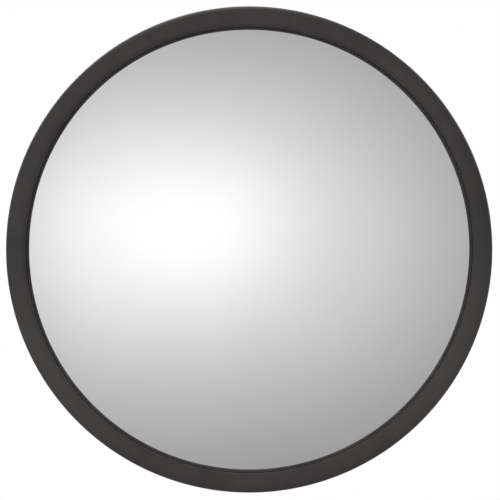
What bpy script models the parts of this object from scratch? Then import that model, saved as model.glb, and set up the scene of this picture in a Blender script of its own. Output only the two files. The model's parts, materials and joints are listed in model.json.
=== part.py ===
"""Convex security mirror on an articulated wall bracket.

A domed acrylic mirror backed by a hardboard disc is edged with a black channel
trim. A ball joint at the end of a hinged arm carries it from a wall plate.

Frame: metres, +Z up. The wall is the plane Y = 0, the mirror faces -Y, and the
origin is the centre of the wall plate's back face. Distances called reach run
from the wall towards the viewer, along -Y.
"""

import math

import bmesh
import bpy

MM = 0.001

# Fits
GAP = 0.3 * MM              # between faces that touch
BOLT_CLEARANCE = 0.3 * MM   # round a shank in its hole

# Lens and backing disc
LENS_RADIUS = 222.0 * MM
LENS_FLANGE = 8.0 * MM      # flat margin outside the dome
LENS_WALL = 2.5 * MM
DOME_RISE = 60.0 * MM
BOARD_WALL = 3.2 * MM

# Edge trim, a channel that holds the lens and the disc together
TRIM_SIDE = 6.2 * MM        # rubber outside the lens's edge
TRIM_CROWN = 7.5 * MM       # height of its crown above the lens's flange
TRIM_CROWN_HALF = 12.5 * MM  # from the crown to the outside
TRIM_CROWN_FOOT = 1.0 * MM
TRIM_FULLNESS = 2.6         # 2 makes the crown's two sides elliptical, more makes them squarer
TRIM_LIP_LAP = 4.4 * MM     # how far the lip runs over the dome's foot
TRIM_LIP_WALL = 1.2 * MM    # height of the lip's upright edge
TRIM_BACK_WALL = 2.2 * MM
TRIM_BACK_LAP = 12.0 * MM
TRIM_BACK_ROUND = 3.0 * MM
TRIM_BUTT_GAP = 0.4 * MM
TRIM_BUTT_ANGLE = math.radians(11.2)  # clockwise from the top, seen from the front

# Hub on the back of the disc
HUB_RADIUS = 55.0 * MM
HUB_WALL = 2.0 * MM
HAT_TOP_RADIUS = 22.0 * MM
HAT_FOOT_RADIUS = 30.0 * MM
HUB_BOLT_CIRCLE = 43.0 * MM
HUB_BOLT_COUNT = 4
BACKING_WALL = 1.5 * MM

# Hub bolts and nuts, M5
HUB_BOLT_RADIUS = 2.5 * MM
HUB_HEAD_RADIUS = 4.75 * MM
HUB_HEAD_HEIGHT = 2.8 * MM
HUB_SOCKET_FLATS = 3.0 * MM
HUB_SOCKET_DEPTH = 1.6 * MM
HUB_NUT_FLATS = 8.0 * MM
HUB_NUT_HEIGHT = 5.0 * MM
THREAD_STAND = 0.9 * MM     # thread that shows past a nut

# Ball stud, M8, with its nut and washer
BALL_RADIUS = 11.0 * MM
NECK_RADIUS = 4.0 * MM
NECK_LENGTH = 8.7 * MM
STUD_FLATS = 13.0 * MM
STUD_FLANGE = 4.0 * MM
STUD_WASHER_RADIUS = 8.5 * MM
STUD_WASHER_WALL = 1.6 * MM
STUD_NUT_HEIGHT = 6.5 * MM

# Socket: liner, cup and lock collar
LINER_WALL = 2.0 * MM
LINER_HALF_ANGLE = math.radians(30.0)
LINER_SLIT = 2.0 * MM
CUP_WALL = 2.1 * MM
CUP_FLOOR = 3.0 * MM
CUP_RIM_SET = 1.0 * MM      # the cup's rim behind the ball's centre
CUP_TAPER = 15.2 * MM
SEAT_BACK_ANGLE = math.radians(150.0)
COLLAR_WALL = 3.0 * MM
COLLAR_SEAT_ANGLE = math.radians(62.0)
COLLAR_SEAT_BACK = math.radians(88.0)
COLLAR_NOSE = 1.6 * MM
COLLAR_SKIRT = 11.0 * MM    # behind the ball's centre
COLLAR_CHAMFER = 1.0 * MM

# Arm
PIVOT_REACH = 42.0 * MM     # wall to the hinge's axis
ARM_REACH = 158.0 * MM      # hinge's axis to the ball's centre
TUBE_RADIUS = 9.5 * MM
TUBE_WALL = 1.5 * MM
SPIGOT_LENGTH = 20.0 * MM
TONGUE_WALL = 8.0 * MM
TONGUE_RADIUS = 9.5 * MM
TONGUE_LENGTH = 20.0 * MM
SHOULDER = 4.0 * MM
PIN_RADIUS = 2.0 * MM
PIN_STAND = 0.5 * MM

# Hinge
EAR_WALL = 3.0 * MM
EAR_RADIUS = 11.0 * MM
FOOT_HEIGHT = 44.0 * MM
FOOT_MARGIN = 6.0 * MM
FRICTION_WASHER_WALL = 1.0 * MM
FRICTION_WASHER_RADIUS = 9.0 * MM
PIVOT_RADIUS = 4.0 * MM
PIVOT_HEAD_FLATS = 13.0 * MM
PIVOT_HEAD_HEIGHT = 5.3 * MM
PIVOT_WASHER_RADIUS = 8.0 * MM
PIVOT_WASHER_WALL = 1.6 * MM
WING_HUB_RADIUS = 6.5 * MM
WING_HUB_HEIGHT = 8.0 * MM
WING_WALL = 2.6 * MM
WING_ROUND = 5.2 * MM
WING_SPREAD = 11.0 * MM     # from the axis to the middle of a wing's round end
WING_LIFT = 9.5 * MM
WING_TURN = math.radians(28.0)

# Wall plate, screws and plugs
PLATE_WIDTH = 80.0 * MM
PLATE_HEIGHT = 110.0 * MM
PLATE_WALL = 3.0 * MM
PLATE_CORNER = 10.0 * MM
SCREW_INSET = 12.0 * MM     # from the plate's edges to each screw
SCREW_RADIUS = 2.4 * MM
SCREW_HEAD_RADIUS = 4.75 * MM
SCREW_HEAD_HEIGHT = 3.0 * MM
SCREW_LENGTH = 40.0 * MM
SCREW_POINT = 5.0 * MM
SCREW_SLOT_WIDTH = 1.1 * MM
SCREW_SLOT_LENGTH = 5.4 * MM
SCREW_SLOT_DEPTH = 1.5 * MM
PLUG_WALL = 1.3 * MM
PLUG_SET = 2.5 * MM         # the plug's mouth behind the wall's face
PLUG_LENGTH = 31.0 * MM

# Facets
WIDE_STEPS = 64             # on the mirror's own diameter
ROUND_STEPS = 24
SMALL_STEPS = 16
SHARP_ANGLE = math.radians(32.0)
WELD = 0.002 * MM

# Sizes that follow from those above
DOME_RADIUS = LENS_RADIUS - LENS_FLANGE
DOME_SPHERE = (DOME_RADIUS**2 + DOME_RISE**2) / (2 * DOME_RISE)
TRIM_RADIUS = LENS_RADIUS + GAP + TRIM_SIDE
LIP_RADIUS = DOME_RADIUS - TRIM_LIP_LAP

HUB_REACH = BALL_RADIUS + NECK_LENGTH + STUD_FLANGE + GAP
STUD_WASHER_REACH = HUB_REACH + HUB_WALL + GAP
STUD_NUT_REACH = STUD_WASHER_REACH + STUD_WASHER_WALL + GAP
STUD_END = STUD_NUT_REACH + STUD_NUT_HEIGHT + THREAD_STAND
HUB_FRONT = STUD_END + GAP
BOARD_REACH = HUB_FRONT + GAP
BACKING_REACH = BOARD_REACH + BOARD_WALL + GAP
LENS_REACH = BOARD_REACH + BOARD_WALL + GAP + LENS_WALL
HUB_NUT_REACH = BACKING_REACH + BACKING_WALL + GAP
HUB_HEAD_SEAT = HUB_FRONT - HUB_WALL - GAP

SEAT_RADIUS = BALL_RADIUS + GAP + LINER_WALL + GAP
CUP_RADIUS = SEAT_RADIUS + CUP_WALL
CUP_DEPTH = -SEAT_RADIUS * math.cos(SEAT_BACK_ANGLE) + CUP_FLOOR
SOCKET_REACH = CUP_DEPTH + CUP_TAPER
COLLAR_BORE = CUP_RADIUS + GAP
COLLAR_RADIUS = COLLAR_BORE + COLLAR_WALL

TUBE_BORE = TUBE_RADIUS - TUBE_WALL
SPIGOT_RADIUS = TUBE_BORE - GAP
TUBE_START = TONGUE_LENGTH + SHOULDER + GAP
TUBE_END = ARM_REACH - SOCKET_REACH - GAP
REAR_PIN_REACH = TUBE_START + SPIGOT_LENGTH / 2
FRONT_PIN_REACH = TUBE_END - SPIGOT_LENGTH / 2

EAR_INNER = TONGUE_WALL / 2 + FRICTION_WASHER_WALL + 2 * GAP
EAR_OUTER = EAR_INNER + EAR_WALL
PIVOT_HOLE = PIVOT_RADIUS + BOLT_CLEARANCE
FOOT_REACH = PLATE_WALL + GAP
SCREW_X = PLATE_WIDTH / 2 - SCREW_INSET
SCREW_Z = PLATE_HEIGHT / 2 - SCREW_INSET

# A piece modelled along +Z lies along -Y, or along +X
FORWARD = (math.radians(90.0), 0.0, 0.0)
SIDEWAYS = (0.0, math.radians(90.0), 0.0)
AT_REST = (0.0, 0.0, 0.0)


# Scene

def clear_scene():
    for obj in list(bpy.data.objects):
        bpy.data.objects.remove(obj, do_unlink=True)


def make_collection(name):
    collection = bpy.data.collections.new(name)
    bpy.context.scene.collection.children.link(collection)
    return collection


def make_material(name, colour, roughness, metallic=0.0):
    material = bpy.data.materials.new(name)
    material.use_nodes = True
    material.diffuse_color = (*colour, 1.0)
    shader = material.node_tree.nodes["Principled BSDF"]
    shader.inputs["Base Color"].default_value = (*colour, 1.0)
    shader.inputs["Roughness"].default_value = roughness
    shader.inputs["Metallic"].default_value = metallic
    return material


def make_materials():
    return {
        "mirror": make_material("silvered acrylic", (0.90, 0.91, 0.91), 0.03, 1.0),
        "trim": make_material("black soft vinyl", (0.045, 0.042, 0.039), 0.55),
        "board": make_material("brown hardboard", (0.20, 0.11, 0.055), 0.80),
        "zinc": make_material("zinc-plated steel", (0.60, 0.61, 0.62), 0.35, 1.0),
        "coat": make_material("black powder coat", (0.025, 0.025, 0.026), 0.50),
        "nylon": make_material("natural nylon", (0.80, 0.78, 0.70), 0.45),
        "plug": make_material("grey plug plastic", (0.30, 0.31, 0.32), 0.55),
    }


def make_pivot(name, collection, parent, location):
    pivot = bpy.data.objects.new(name, None)
    pivot.empty_display_size = 20 * MM
    collection.objects.link(pivot)
    pivot.parent = parent
    pivot.location = location
    return pivot


# Outlines

def arc(centre, radii, start, end, pieces):
    """Points on an elliptical arc, both ends included. Angles are in degrees from +X."""
    points = []
    for i in range(pieces + 1):
        angle = math.radians(start + (end - start) * i / pieces)
        points.append((centre[0] + radii[0] * math.cos(angle), centre[1] + radii[1] * math.sin(angle)))
    return points


def full_quarter(centre, reach, fullness, pieces):
    """Points from the top of a superellipse down to its side, either outwards or inwards."""
    points = []
    for i in range(pieces + 1):
        angle = math.pi / 2 * (1 - i / pieces)
        run = max(math.cos(angle), 0.0) ** (2 / fullness)
        rise = math.sin(angle) ** (2 / fullness)
        points.append((centre[0] + (reach[0] - centre[0]) * run, centre[1] + (reach[1] - centre[1]) * rise))
    return points


def polar(radius, angle):
    """(radius, height) of a point on a sphere, by its angle from the front of the axis."""
    return radius * math.sin(angle), radius * math.cos(angle)


def polar_arc(radius, start, end, pieces):
    return [polar(radius, start + (end - start) * i / pieces) for i in range(pieces + 1)]


def circle(centre, radius, pieces):
    return arc(centre, (radius, radius), 0.0, 360.0, pieces)[:-1]


def rounded_rectangle(width, height, corner, pieces):
    points = []
    for quarter, (side_x, side_y) in enumerate(((1, 1), (-1, 1), (-1, -1), (1, -1))):
        centre = (side_x * (width / 2 - corner), side_y * (height / 2 - corner))
        points += arc(centre, (corner, corner), 90.0 * quarter, 90.0 * (quarter + 1), pieces)
    return points


def washer_profile(bore, radius, wall):
    return [(bore, wall), (radius, wall), (radius, 0.0), (bore, 0.0)]


def dome_height(radius):
    """Height of the lens's outer surface above its flange."""
    return math.sqrt(DOME_SPHERE**2 - radius**2) - (DOME_SPHERE - DOME_RISE)


# Meshes

def settled_mesh(obj):
    """The mesh that an object evaluates to, welded, and shaded smooth between its sharp edges."""
    graph = bpy.context.evaluated_depsgraph_get()
    mesh = bpy.data.meshes.new_from_object(obj.evaluated_get(graph))
    work = bmesh.new()
    work.from_mesh(mesh)
    bmesh.ops.remove_doubles(work, verts=work.verts, dist=WELD)
    work.to_mesh(mesh)
    work.free()
    mesh.shade_smooth()
    mesh.set_sharp_from_angle(angle=SHARP_ANGLE)
    return mesh


def settle_and_remove(*objects):
    """The settled mesh of the first object, with all of them removed."""
    mesh = settled_mesh(objects[0])
    for obj in objects:
        bpy.data.objects.remove(obj, do_unlink=True)
    return mesh


def helper_object(name, data):
    obj = bpy.data.objects.new(name, data)
    bpy.context.scene.collection.objects.link(obj)
    return obj


def turned_mesh(name, profile, steps, closed=False):
    """A mesh turned about Z from (radius, height) points that run down its outer side."""
    outline = bpy.data.meshes.new(name)
    edges = [(i, i + 1) for i in range(len(profile) - 1)]
    if closed:
        edges.append((len(profile) - 1, 0))
    outline.from_pydata([(radius, 0.0, height) for radius, height in profile], edges, [])
    obj = helper_object(name, outline)
    screw = obj.modifiers.new("Screw", "SCREW")
    screw.axis = "Z"
    screw.angle = 2 * math.pi
    screw.steps = steps
    screw.render_steps = steps
    screw.use_merge_vertices = True
    screw.merge_threshold = WELD
    return settle_and_remove(obj)


def flat_mesh(name, outlines, wall):
    """A plate centred on Z = 0 from its outline and those of its holes."""
    curve = bpy.data.curves.new(name, "CURVE")
    curve.dimensions = "2D"
    curve.fill_mode = "BOTH"
    curve.extrude = wall / 2
    for points in outlines:
        spline = curve.splines.new("POLY")
        spline.points.add(len(points) - 1)
        for target, (x, y) in zip(spline.points, points):
            target.co = (x, y, 0.0, 1.0)
        spline.use_cyclic_u = True
    return settle_and_remove(helper_object(name, curve))


def prism_mesh(name, sides, radius, length, start=0.0):
    """An upright prism or, with many sides, a rod, from start to start + length."""
    work = bmesh.new()
    bmesh.ops.create_cone(
        work, cap_ends=True, segments=sides, radius1=radius, radius2=radius, depth=length
    )
    bmesh.ops.translate(work, verts=work.verts, vec=(0.0, 0.0, start + length / 2))
    mesh = bpy.data.meshes.new(name)
    work.to_mesh(mesh)
    work.free()
    return mesh


def hexagon_mesh(name, flats, height, start=0.0):
    return prism_mesh(name, 6, flats / math.sqrt(3), height, start)


def box_mesh(name, size):
    work = bmesh.new()
    bmesh.ops.create_cube(work, size=1.0)
    bmesh.ops.scale(work, verts=work.verts, vec=size)
    mesh = bpy.data.meshes.new(name)
    work.to_mesh(mesh)
    work.free()
    return mesh


def combine(obj, tool, operation):
    modifier = obj.modifiers.new(tool.name, "BOOLEAN")
    modifier.operation = operation
    modifier.solver = "EXACT"
    modifier.object = tool


def combined_mesh(name, first, second, operation, location=AT_REST, rotation=AT_REST):
    """One mesh from two, for a piece that is repeated and so shares its mesh."""
    obj = helper_object(name, first)
    tool = helper_object(name + "_tool", second)
    tool.location = location
    tool.rotation_euler = rotation
    combine(obj, tool, operation)
    return settle_and_remove(obj, tool)


# Parts and their tools

class Kit:
    """Places parts in one collection and the cutters that shape them in another."""

    def __init__(self):
        self.parts = make_collection("convex_security_mirror")
        self.tools = make_collection("cutters")
        self.tools.hide_render = True
        self.materials = make_materials()

    def part(self, name, mesh, material, parent, location=AT_REST, rotation=FORWARD):
        obj = bpy.data.objects.new(name, mesh)
        self.parts.objects.link(obj)
        if not mesh.materials:
            mesh.materials.append(self.materials[material])
        obj.parent = parent
        obj.location = location
        obj.rotation_euler = rotation
        return obj

    def tool(self, part, operation, mesh, location=AT_REST, rotation=AT_REST):
        """A cutter or an addition, placed in the part's own axes."""
        name = f"{part.name}_{operation.lower()}_{len(part.modifiers) + 1}"
        obj = bpy.data.objects.new(name, mesh)
        self.tools.objects.link(obj)
        obj.hide_render = True
        obj.display_type = "WIRE"
        obj.parent = part
        obj.location = location
        obj.rotation_euler = rotation
        combine(part, obj, operation)

    def cut(self, part, mesh, location=AT_REST, rotation=AT_REST):
        self.tool(part, "DIFFERENCE", mesh, location, rotation)

    def fuse(self, part, mesh, location=AT_REST, rotation=AT_REST):
        self.tool(part, "UNION", mesh, location, rotation)


# Mirror head, measured forwards from the ball's centre

def hub_bolt_places():
    """(x, y) of each hub bolt in the head's own plane."""
    places = []
    for i in range(HUB_BOLT_COUNT):
        angle = 2 * math.pi * (i + 0.5) / HUB_BOLT_COUNT
        places.append((HUB_BOLT_CIRCLE * math.cos(angle), HUB_BOLT_CIRCLE * math.sin(angle)))
    return places


def drill_hub_holes(kit, part, low, high):
    length = high - low + 4 * MM
    drill = prism_mesh("hub_drill", SMALL_STEPS, HUB_BOLT_RADIUS + BOLT_CLEARANCE, length, low - 2 * MM)
    for x, y in hub_bolt_places():
        kit.cut(part, drill, (x, y, 0.0))


def add_lens(kit, parent):
    arc_pieces = 8
    outer_end = math.asin(DOME_RADIUS / DOME_SPHERE)
    inner_sphere = DOME_SPHERE - LENS_WALL
    inner_end = math.acos((DOME_SPHERE - DOME_RISE - LENS_WALL) / inner_sphere)
    centre = DOME_RISE - DOME_SPHERE
    outer = [(r, h + centre) for r, h in polar_arc(DOME_SPHERE, 0.0, outer_end, arc_pieces)]
    inner = [(r, h + centre) for r, h in polar_arc(inner_sphere, inner_end, 0.0, arc_pieces)]
    profile = outer + [(LENS_RADIUS, 0.0), (LENS_RADIUS, -LENS_WALL)] + inner
    mesh = turned_mesh("mirror_lens", profile, WIDE_STEPS)
    kit.part("mirror_lens", mesh, "mirror", parent, (0.0, -LENS_REACH, 0.0))


def trim_profile():
    """The channel's section, with height 0 on the front of the lens's flange."""
    back = BOARD_REACH - GAP - TRIM_BACK_WALL - LENS_REACH
    crown_radius = TRIM_RADIUS - TRIM_CROWN_HALF
    slot_radius = LENS_RADIUS + GAP
    back_radius = LENS_RADIUS - TRIM_BACK_LAP
    lip_under = dome_height(LIP_RADIUS) + GAP
    lip_top = lip_under + TRIM_LIP_WALL
    points = full_quarter((crown_radius, TRIM_CROWN_FOOT), (TRIM_RADIUS, TRIM_CROWN), TRIM_FULLNESS, 6)
    corner = (TRIM_RADIUS - TRIM_BACK_ROUND, back + TRIM_BACK_ROUND)
    points += arc(corner, (TRIM_BACK_ROUND, TRIM_BACK_ROUND), 0.0, -90.0, 3)
    points += [(back_radius, back), (back_radius, back + TRIM_BACK_WALL)]
    points += [(slot_radius, back + TRIM_BACK_WALL), (slot_radius, GAP), (DOME_RADIUS, GAP)]
    points.append((LIP_RADIUS, lip_under))
    inner_side = full_quarter((crown_radius, lip_top), (LIP_RADIUS, TRIM_CROWN), TRIM_FULLNESS, 5)
    points += reversed(inner_side[1:])
    return points


def add_trim(kit, parent):
    mesh = turned_mesh("rim_trim", trim_profile(), WIDE_STEPS, closed=True)
    trim = kit.part("rim_trim", mesh, "trim", parent, (0.0, -LENS_REACH, 0.0))
    width = 2 * (LENS_RADIUS - LIP_RADIUS + TRIM_SIDE)
    blade = box_mesh("butt_blade", (TRIM_BUTT_GAP, width, 4 * (TRIM_CROWN + BOARD_WALL + LENS_WALL)))
    place = (LENS_RADIUS * math.sin(TRIM_BUTT_ANGLE), LENS_RADIUS * math.cos(TRIM_BUTT_ANGLE), 0.0)
    kit.cut(trim, blade, place, (0.0, 0.0, -TRIM_BUTT_ANGLE))


def add_board(kit, parent):
    profile = [(0.0, BOARD_WALL), (LENS_RADIUS, BOARD_WALL), (LENS_RADIUS, 0.0), (0.0, 0.0)]
    mesh = turned_mesh("back_board", profile, WIDE_STEPS)
    board = kit.part("back_board", mesh, "board", parent, (0.0, -BOARD_REACH, 0.0))
    drill_hub_holes(kit, board, 0.0, BOARD_WALL)


def add_hub(kit, parent):
    """A pressed hat with a flat flange, whose crown carries the ball stud."""
    bore = NECK_RADIUS + BOLT_CLEARANCE
    height = HUB_FRONT - HUB_REACH
    slant = math.hypot(height - HUB_WALL, HAT_FOOT_RADIUS - HAT_TOP_RADIUS)
    shift = HUB_WALL * (slant - (HAT_FOOT_RADIUS - HAT_TOP_RADIUS)) / (height - HUB_WALL)
    profile = [
        (bore, HUB_WALL),
        (HAT_TOP_RADIUS - shift, HUB_WALL),
        (HAT_FOOT_RADIUS - shift, height),
        (HUB_RADIUS, height),
        (HUB_RADIUS, height - HUB_WALL),
        (HAT_FOOT_RADIUS, height - HUB_WALL),
        (HAT_TOP_RADIUS, 0.0),
        (bore, 0.0),
    ]
    mesh = turned_mesh("hub_plate", profile, 2 * ROUND_STEPS, closed=True)
    hub = kit.part("hub_plate", mesh, "zinc", parent, (0.0, -HUB_REACH, 0.0))
    drill_hub_holes(kit, hub, height - HUB_WALL, height)


def add_backing_plate(kit, parent):
    profile = [(0.0, BACKING_WALL), (HUB_RADIUS, BACKING_WALL), (HUB_RADIUS, 0.0), (0.0, 0.0)]
    mesh = turned_mesh("backing_plate", profile, 2 * ROUND_STEPS)
    plate = kit.part("backing_plate", mesh, "zinc", parent, (0.0, -BACKING_REACH, 0.0))
    drill_hub_holes(kit, plate, 0.0, BACKING_WALL)


def hub_bolt_mesh():
    """A button-head bolt, from the underside of its head at height 0."""
    length = HUB_NUT_REACH + HUB_NUT_HEIGHT + THREAD_STAND - HUB_HEAD_SEAT
    profile = [(0.0, length), (HUB_BOLT_RADIUS, length), (HUB_BOLT_RADIUS, 0.0), (HUB_HEAD_RADIUS, 0.0)]
    profile += arc((0.0, 0.0), (HUB_HEAD_RADIUS, HUB_HEAD_HEIGHT), -20.0, -90.0, 4)
    body = turned_mesh("hub_bolt_body", profile, SMALL_STEPS)
    socket = hexagon_mesh("hub_bolt_socket", HUB_SOCKET_FLATS, 2 * HUB_SOCKET_DEPTH, -HUB_SOCKET_DEPTH)
    return combined_mesh("hub_bolt", body, socket, "DIFFERENCE", (0.0, 0.0, -HUB_HEAD_HEIGHT))


def nut_mesh(name, flats, height, shank_radius):
    bore = prism_mesh(name + "_bore", SMALL_STEPS, shank_radius + BOLT_CLEARANCE, 3 * height, -height)
    return combined_mesh(name, hexagon_mesh(name + "_body", flats, height), bore, "DIFFERENCE")


def add_hub_fasteners(kit, parent):
    bolt = hub_bolt_mesh()
    nut = nut_mesh("hub_nut", HUB_NUT_FLATS, HUB_NUT_HEIGHT, HUB_BOLT_RADIUS)
    for i, (x, y) in enumerate(hub_bolt_places(), 1):
        kit.part(f"hub_bolt_{i}", bolt, "zinc", parent, (x, -HUB_HEAD_SEAT, y))
        kit.part(f"hub_nut_{i}", nut, "zinc", parent, (x, -HUB_NUT_REACH, y))


# Ball stud, measured from the ball's centre

def add_ball_stud(kit, parent):
    neck_angle = math.asin(NECK_RADIUS / BALL_RADIUS)
    profile = [(0.0, STUD_END), (NECK_RADIUS, STUD_END)]
    profile += polar_arc(BALL_RADIUS, neck_angle, math.pi, 12)
    mesh = turned_mesh("ball_stud", profile, ROUND_STEPS)
    stud = kit.part("ball_stud", mesh, "zinc", parent)
    kit.fuse(stud, hexagon_mesh("stud_flange", STUD_FLATS, STUD_FLANGE, BALL_RADIUS + NECK_LENGTH))


def add_stud_fasteners(kit, parent):
    bore = NECK_RADIUS + BOLT_CLEARANCE
    washer = turned_mesh(
        "stud_washer", washer_profile(bore, STUD_WASHER_RADIUS, STUD_WASHER_WALL), ROUND_STEPS, closed=True
    )
    kit.part("stud_washer", washer, "zinc", parent, (0.0, -STUD_WASHER_REACH, 0.0))
    nut = nut_mesh("stud_nut", STUD_FLATS, STUD_NUT_HEIGHT, NECK_RADIUS)
    kit.part("stud_nut", nut, "zinc", parent, (0.0, -STUD_NUT_REACH, 0.0))


# Socket, measured from the ball's centre

def add_liner(kit, parent):
    """A split ring with spherical faces, between the ball and its seat."""
    front = math.pi / 2 - LINER_HALF_ANGLE
    back = math.pi / 2 + LINER_HALF_ANGLE
    inner_radius = BALL_RADIUS + GAP
    profile = polar_arc(inner_radius + LINER_WALL, front, back, 6) + polar_arc(inner_radius, back, front, 6)
    mesh = turned_mesh("ball_liner", profile, ROUND_STEPS, closed=True)
    liner = kit.part("ball_liner", mesh, "nylon", parent)
    reach = 2 * SEAT_RADIUS
    kit.cut(liner, box_mesh("liner_slit", (LINER_SLIT, reach, 2 * reach)), (0.0, -reach / 2, 0.0))


def add_socket_cup(kit, parent):
    rim_angle = math.acos(-CUP_RIM_SET / SEAT_RADIUS)
    floor = SEAT_RADIUS * math.cos(SEAT_BACK_ANGLE)
    profile = [
        (CUP_RADIUS, -CUP_RIM_SET),
        (CUP_RADIUS, -CUP_DEPTH),
        (TUBE_RADIUS, -SOCKET_REACH),
        (SPIGOT_RADIUS, -SOCKET_REACH),
        (SPIGOT_RADIUS, -SOCKET_REACH - SPIGOT_LENGTH),
        (0.0, -SOCKET_REACH - SPIGOT_LENGTH),
    ]
    profile = [(0.0, floor)] + polar_arc(SEAT_RADIUS, SEAT_BACK_ANGLE, rim_angle, 6) + profile
    mesh = turned_mesh("socket_cup", profile, ROUND_STEPS)
    cup = kit.part("socket_cup", mesh, "coat", parent)
    bore_cross_hole(kit, cup, ARM_REACH - FRONT_PIN_REACH)


def add_lock_collar(kit, parent):
    edge_radius, edge_height = polar(SEAT_RADIUS, COLLAR_SEAT_ANGLE)
    step_height = SEAT_RADIUS * math.cos(COLLAR_SEAT_BACK)
    front = edge_height + COLLAR_NOSE
    profile = [
        (edge_radius + 2 * COLLAR_NOSE, front),
        (COLLAR_RADIUS - COLLAR_CHAMFER, front),
        (COLLAR_RADIUS, front - COLLAR_CHAMFER),
        (COLLAR_RADIUS, COLLAR_CHAMFER - COLLAR_SKIRT),
        (COLLAR_RADIUS - COLLAR_CHAMFER, -COLLAR_SKIRT),
        (COLLAR_BORE, -COLLAR_SKIRT),
        (COLLAR_BORE, step_height),
    ]
    profile += polar_arc(SEAT_RADIUS, COLLAR_SEAT_BACK, COLLAR_SEAT_ANGLE, 4)
    mesh = turned_mesh("lock_collar", profile, ROUND_STEPS, closed=True)
    kit.part("lock_collar", mesh, "coat", parent)


# Arm, measured from the hinge's axis

def bore_cross_hole(kit, part, behind):
    """A hole along X for a cross pin, so far behind a part's origin along its own axis."""
    radius = PIN_RADIUS + BOLT_CLEARANCE
    length = 4 * TUBE_RADIUS
    drill = prism_mesh("pin_drill", SMALL_STEPS, radius, length, -length / 2)
    kit.cut(part, drill, (0.0, 0.0, -behind), SIDEWAYS)


def add_arm_tube(kit, parent):
    length = TUBE_END - TUBE_START
    mesh = turned_mesh("arm_tube", washer_profile(TUBE_BORE, TUBE_RADIUS, length), ROUND_STEPS, closed=True)
    tube = kit.part("arm_tube", mesh, "coat", parent, (0.0, -TUBE_START, 0.0))
    bore_cross_hole(kit, tube, TUBE_START - REAR_PIN_REACH)
    bore_cross_hole(kit, tube, TUBE_START - FRONT_PIN_REACH)


def add_arm_tongue(kit, parent):
    """The flat eye of the hinge, with a round plug that fits in the tube."""
    overlap = SHOULDER / 2
    profile = [
        (0.0, TUBE_START + SPIGOT_LENGTH),
        (SPIGOT_RADIUS, TUBE_START + SPIGOT_LENGTH),
        (SPIGOT_RADIUS, TONGUE_LENGTH + SHOULDER),
        (TUBE_RADIUS, TONGUE_LENGTH + SHOULDER),
        (TUBE_RADIUS, TONGUE_LENGTH),
        (0.0, TONGUE_LENGTH),
    ]
    tongue = kit.part("arm_tongue", turned_mesh("arm_tongue", profile, ROUND_STEPS), "coat", parent)
    outline = arc((0.0, 0.0), (TONGUE_RADIUS, TONGUE_RADIUS), 180.0, 360.0, 12)
    end = TONGUE_LENGTH + overlap
    half = min(TONGUE_RADIUS, TUBE_RADIUS) - GAP
    outline += [(TONGUE_RADIUS, TONGUE_LENGTH - overlap), (half, end), (-half, end)]
    outline += [(-TONGUE_RADIUS, TONGUE_LENGTH - overlap)]
    eye = flat_mesh("tongue_eye", [outline, circle((0.0, 0.0), PIVOT_HOLE, SMALL_STEPS)], TONGUE_WALL)
    kit.fuse(tongue, eye, rotation=(math.radians(90.0), 0.0, math.radians(90.0)))
    bore_cross_hole(kit, tongue, -REAR_PIN_REACH)


def add_tube_pins(kit, parent):
    length = 2 * (TUBE_RADIUS + PIN_STAND)
    mesh = prism_mesh("tube_pin", SMALL_STEPS, PIN_RADIUS, length, -length / 2)
    mesh.shade_smooth()
    mesh.set_sharp_from_angle(angle=SHARP_ANGLE)
    for name, reach in (("tube_pin_rear", REAR_PIN_REACH), ("tube_pin_front", FRONT_PIN_REACH)):
        kit.part(name, mesh, "zinc", parent, (0.0, -reach, 0.0), SIDEWAYS)


# Hinge, measured from its own axis

def ear_outline():
    """An ear's side view: x is height, y runs from the hinge's axis to the wall."""
    foot = PIVOT_REACH - FOOT_REACH - EAR_WALL / 2
    half_foot = FOOT_HEIGHT / 2 - EAR_WALL
    lean = math.degrees(math.atan2(half_foot, foot) - math.asin(EAR_RADIUS / math.hypot(half_foot, foot)))
    outline = arc((0.0, 0.0), (EAR_RADIUS, EAR_RADIUS), 180.0 - lean, 360.0 + lean, 16)
    return outline + [(half_foot, foot), (-half_foot, foot)]


def add_clevis(kit, parent):
    """A foot against the wall plate with two ears that hold the hinge bolt."""
    foot = box_mesh("hinge_clevis", (2 * (EAR_OUTER + FOOT_MARGIN), FOOT_HEIGHT, EAR_WALL))
    clevis = kit.part("hinge_clevis", foot, "coat", parent, (0.0, -FOOT_REACH - EAR_WALL / 2, 0.0))
    ear = flat_mesh("clevis_ear", [ear_outline(), circle((0.0, 0.0), PIVOT_HOLE, SMALL_STEPS)], EAR_WALL)
    height = PIVOT_REACH - FOOT_REACH - EAR_WALL / 2
    upright = (math.radians(-90.0), 0.0, math.radians(90.0))
    for side in (-1, 1):
        kit.fuse(clevis, ear, (side * (EAR_INNER + EAR_OUTER) / 2, 0.0, height), upright)


def add_friction_washers(kit, parent):
    profile = washer_profile(PIVOT_HOLE, FRICTION_WASHER_RADIUS, FRICTION_WASHER_WALL)
    mesh = turned_mesh("friction_washer", profile, ROUND_STEPS, closed=True)
    right = TONGUE_WALL / 2 + GAP
    left = -right - FRICTION_WASHER_WALL
    for name, x in (("friction_washer_left", left), ("friction_washer_right", right)):
        kit.part(name, mesh, "nylon", parent, (x, -PIVOT_REACH, 0.0), SIDEWAYS)


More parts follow.
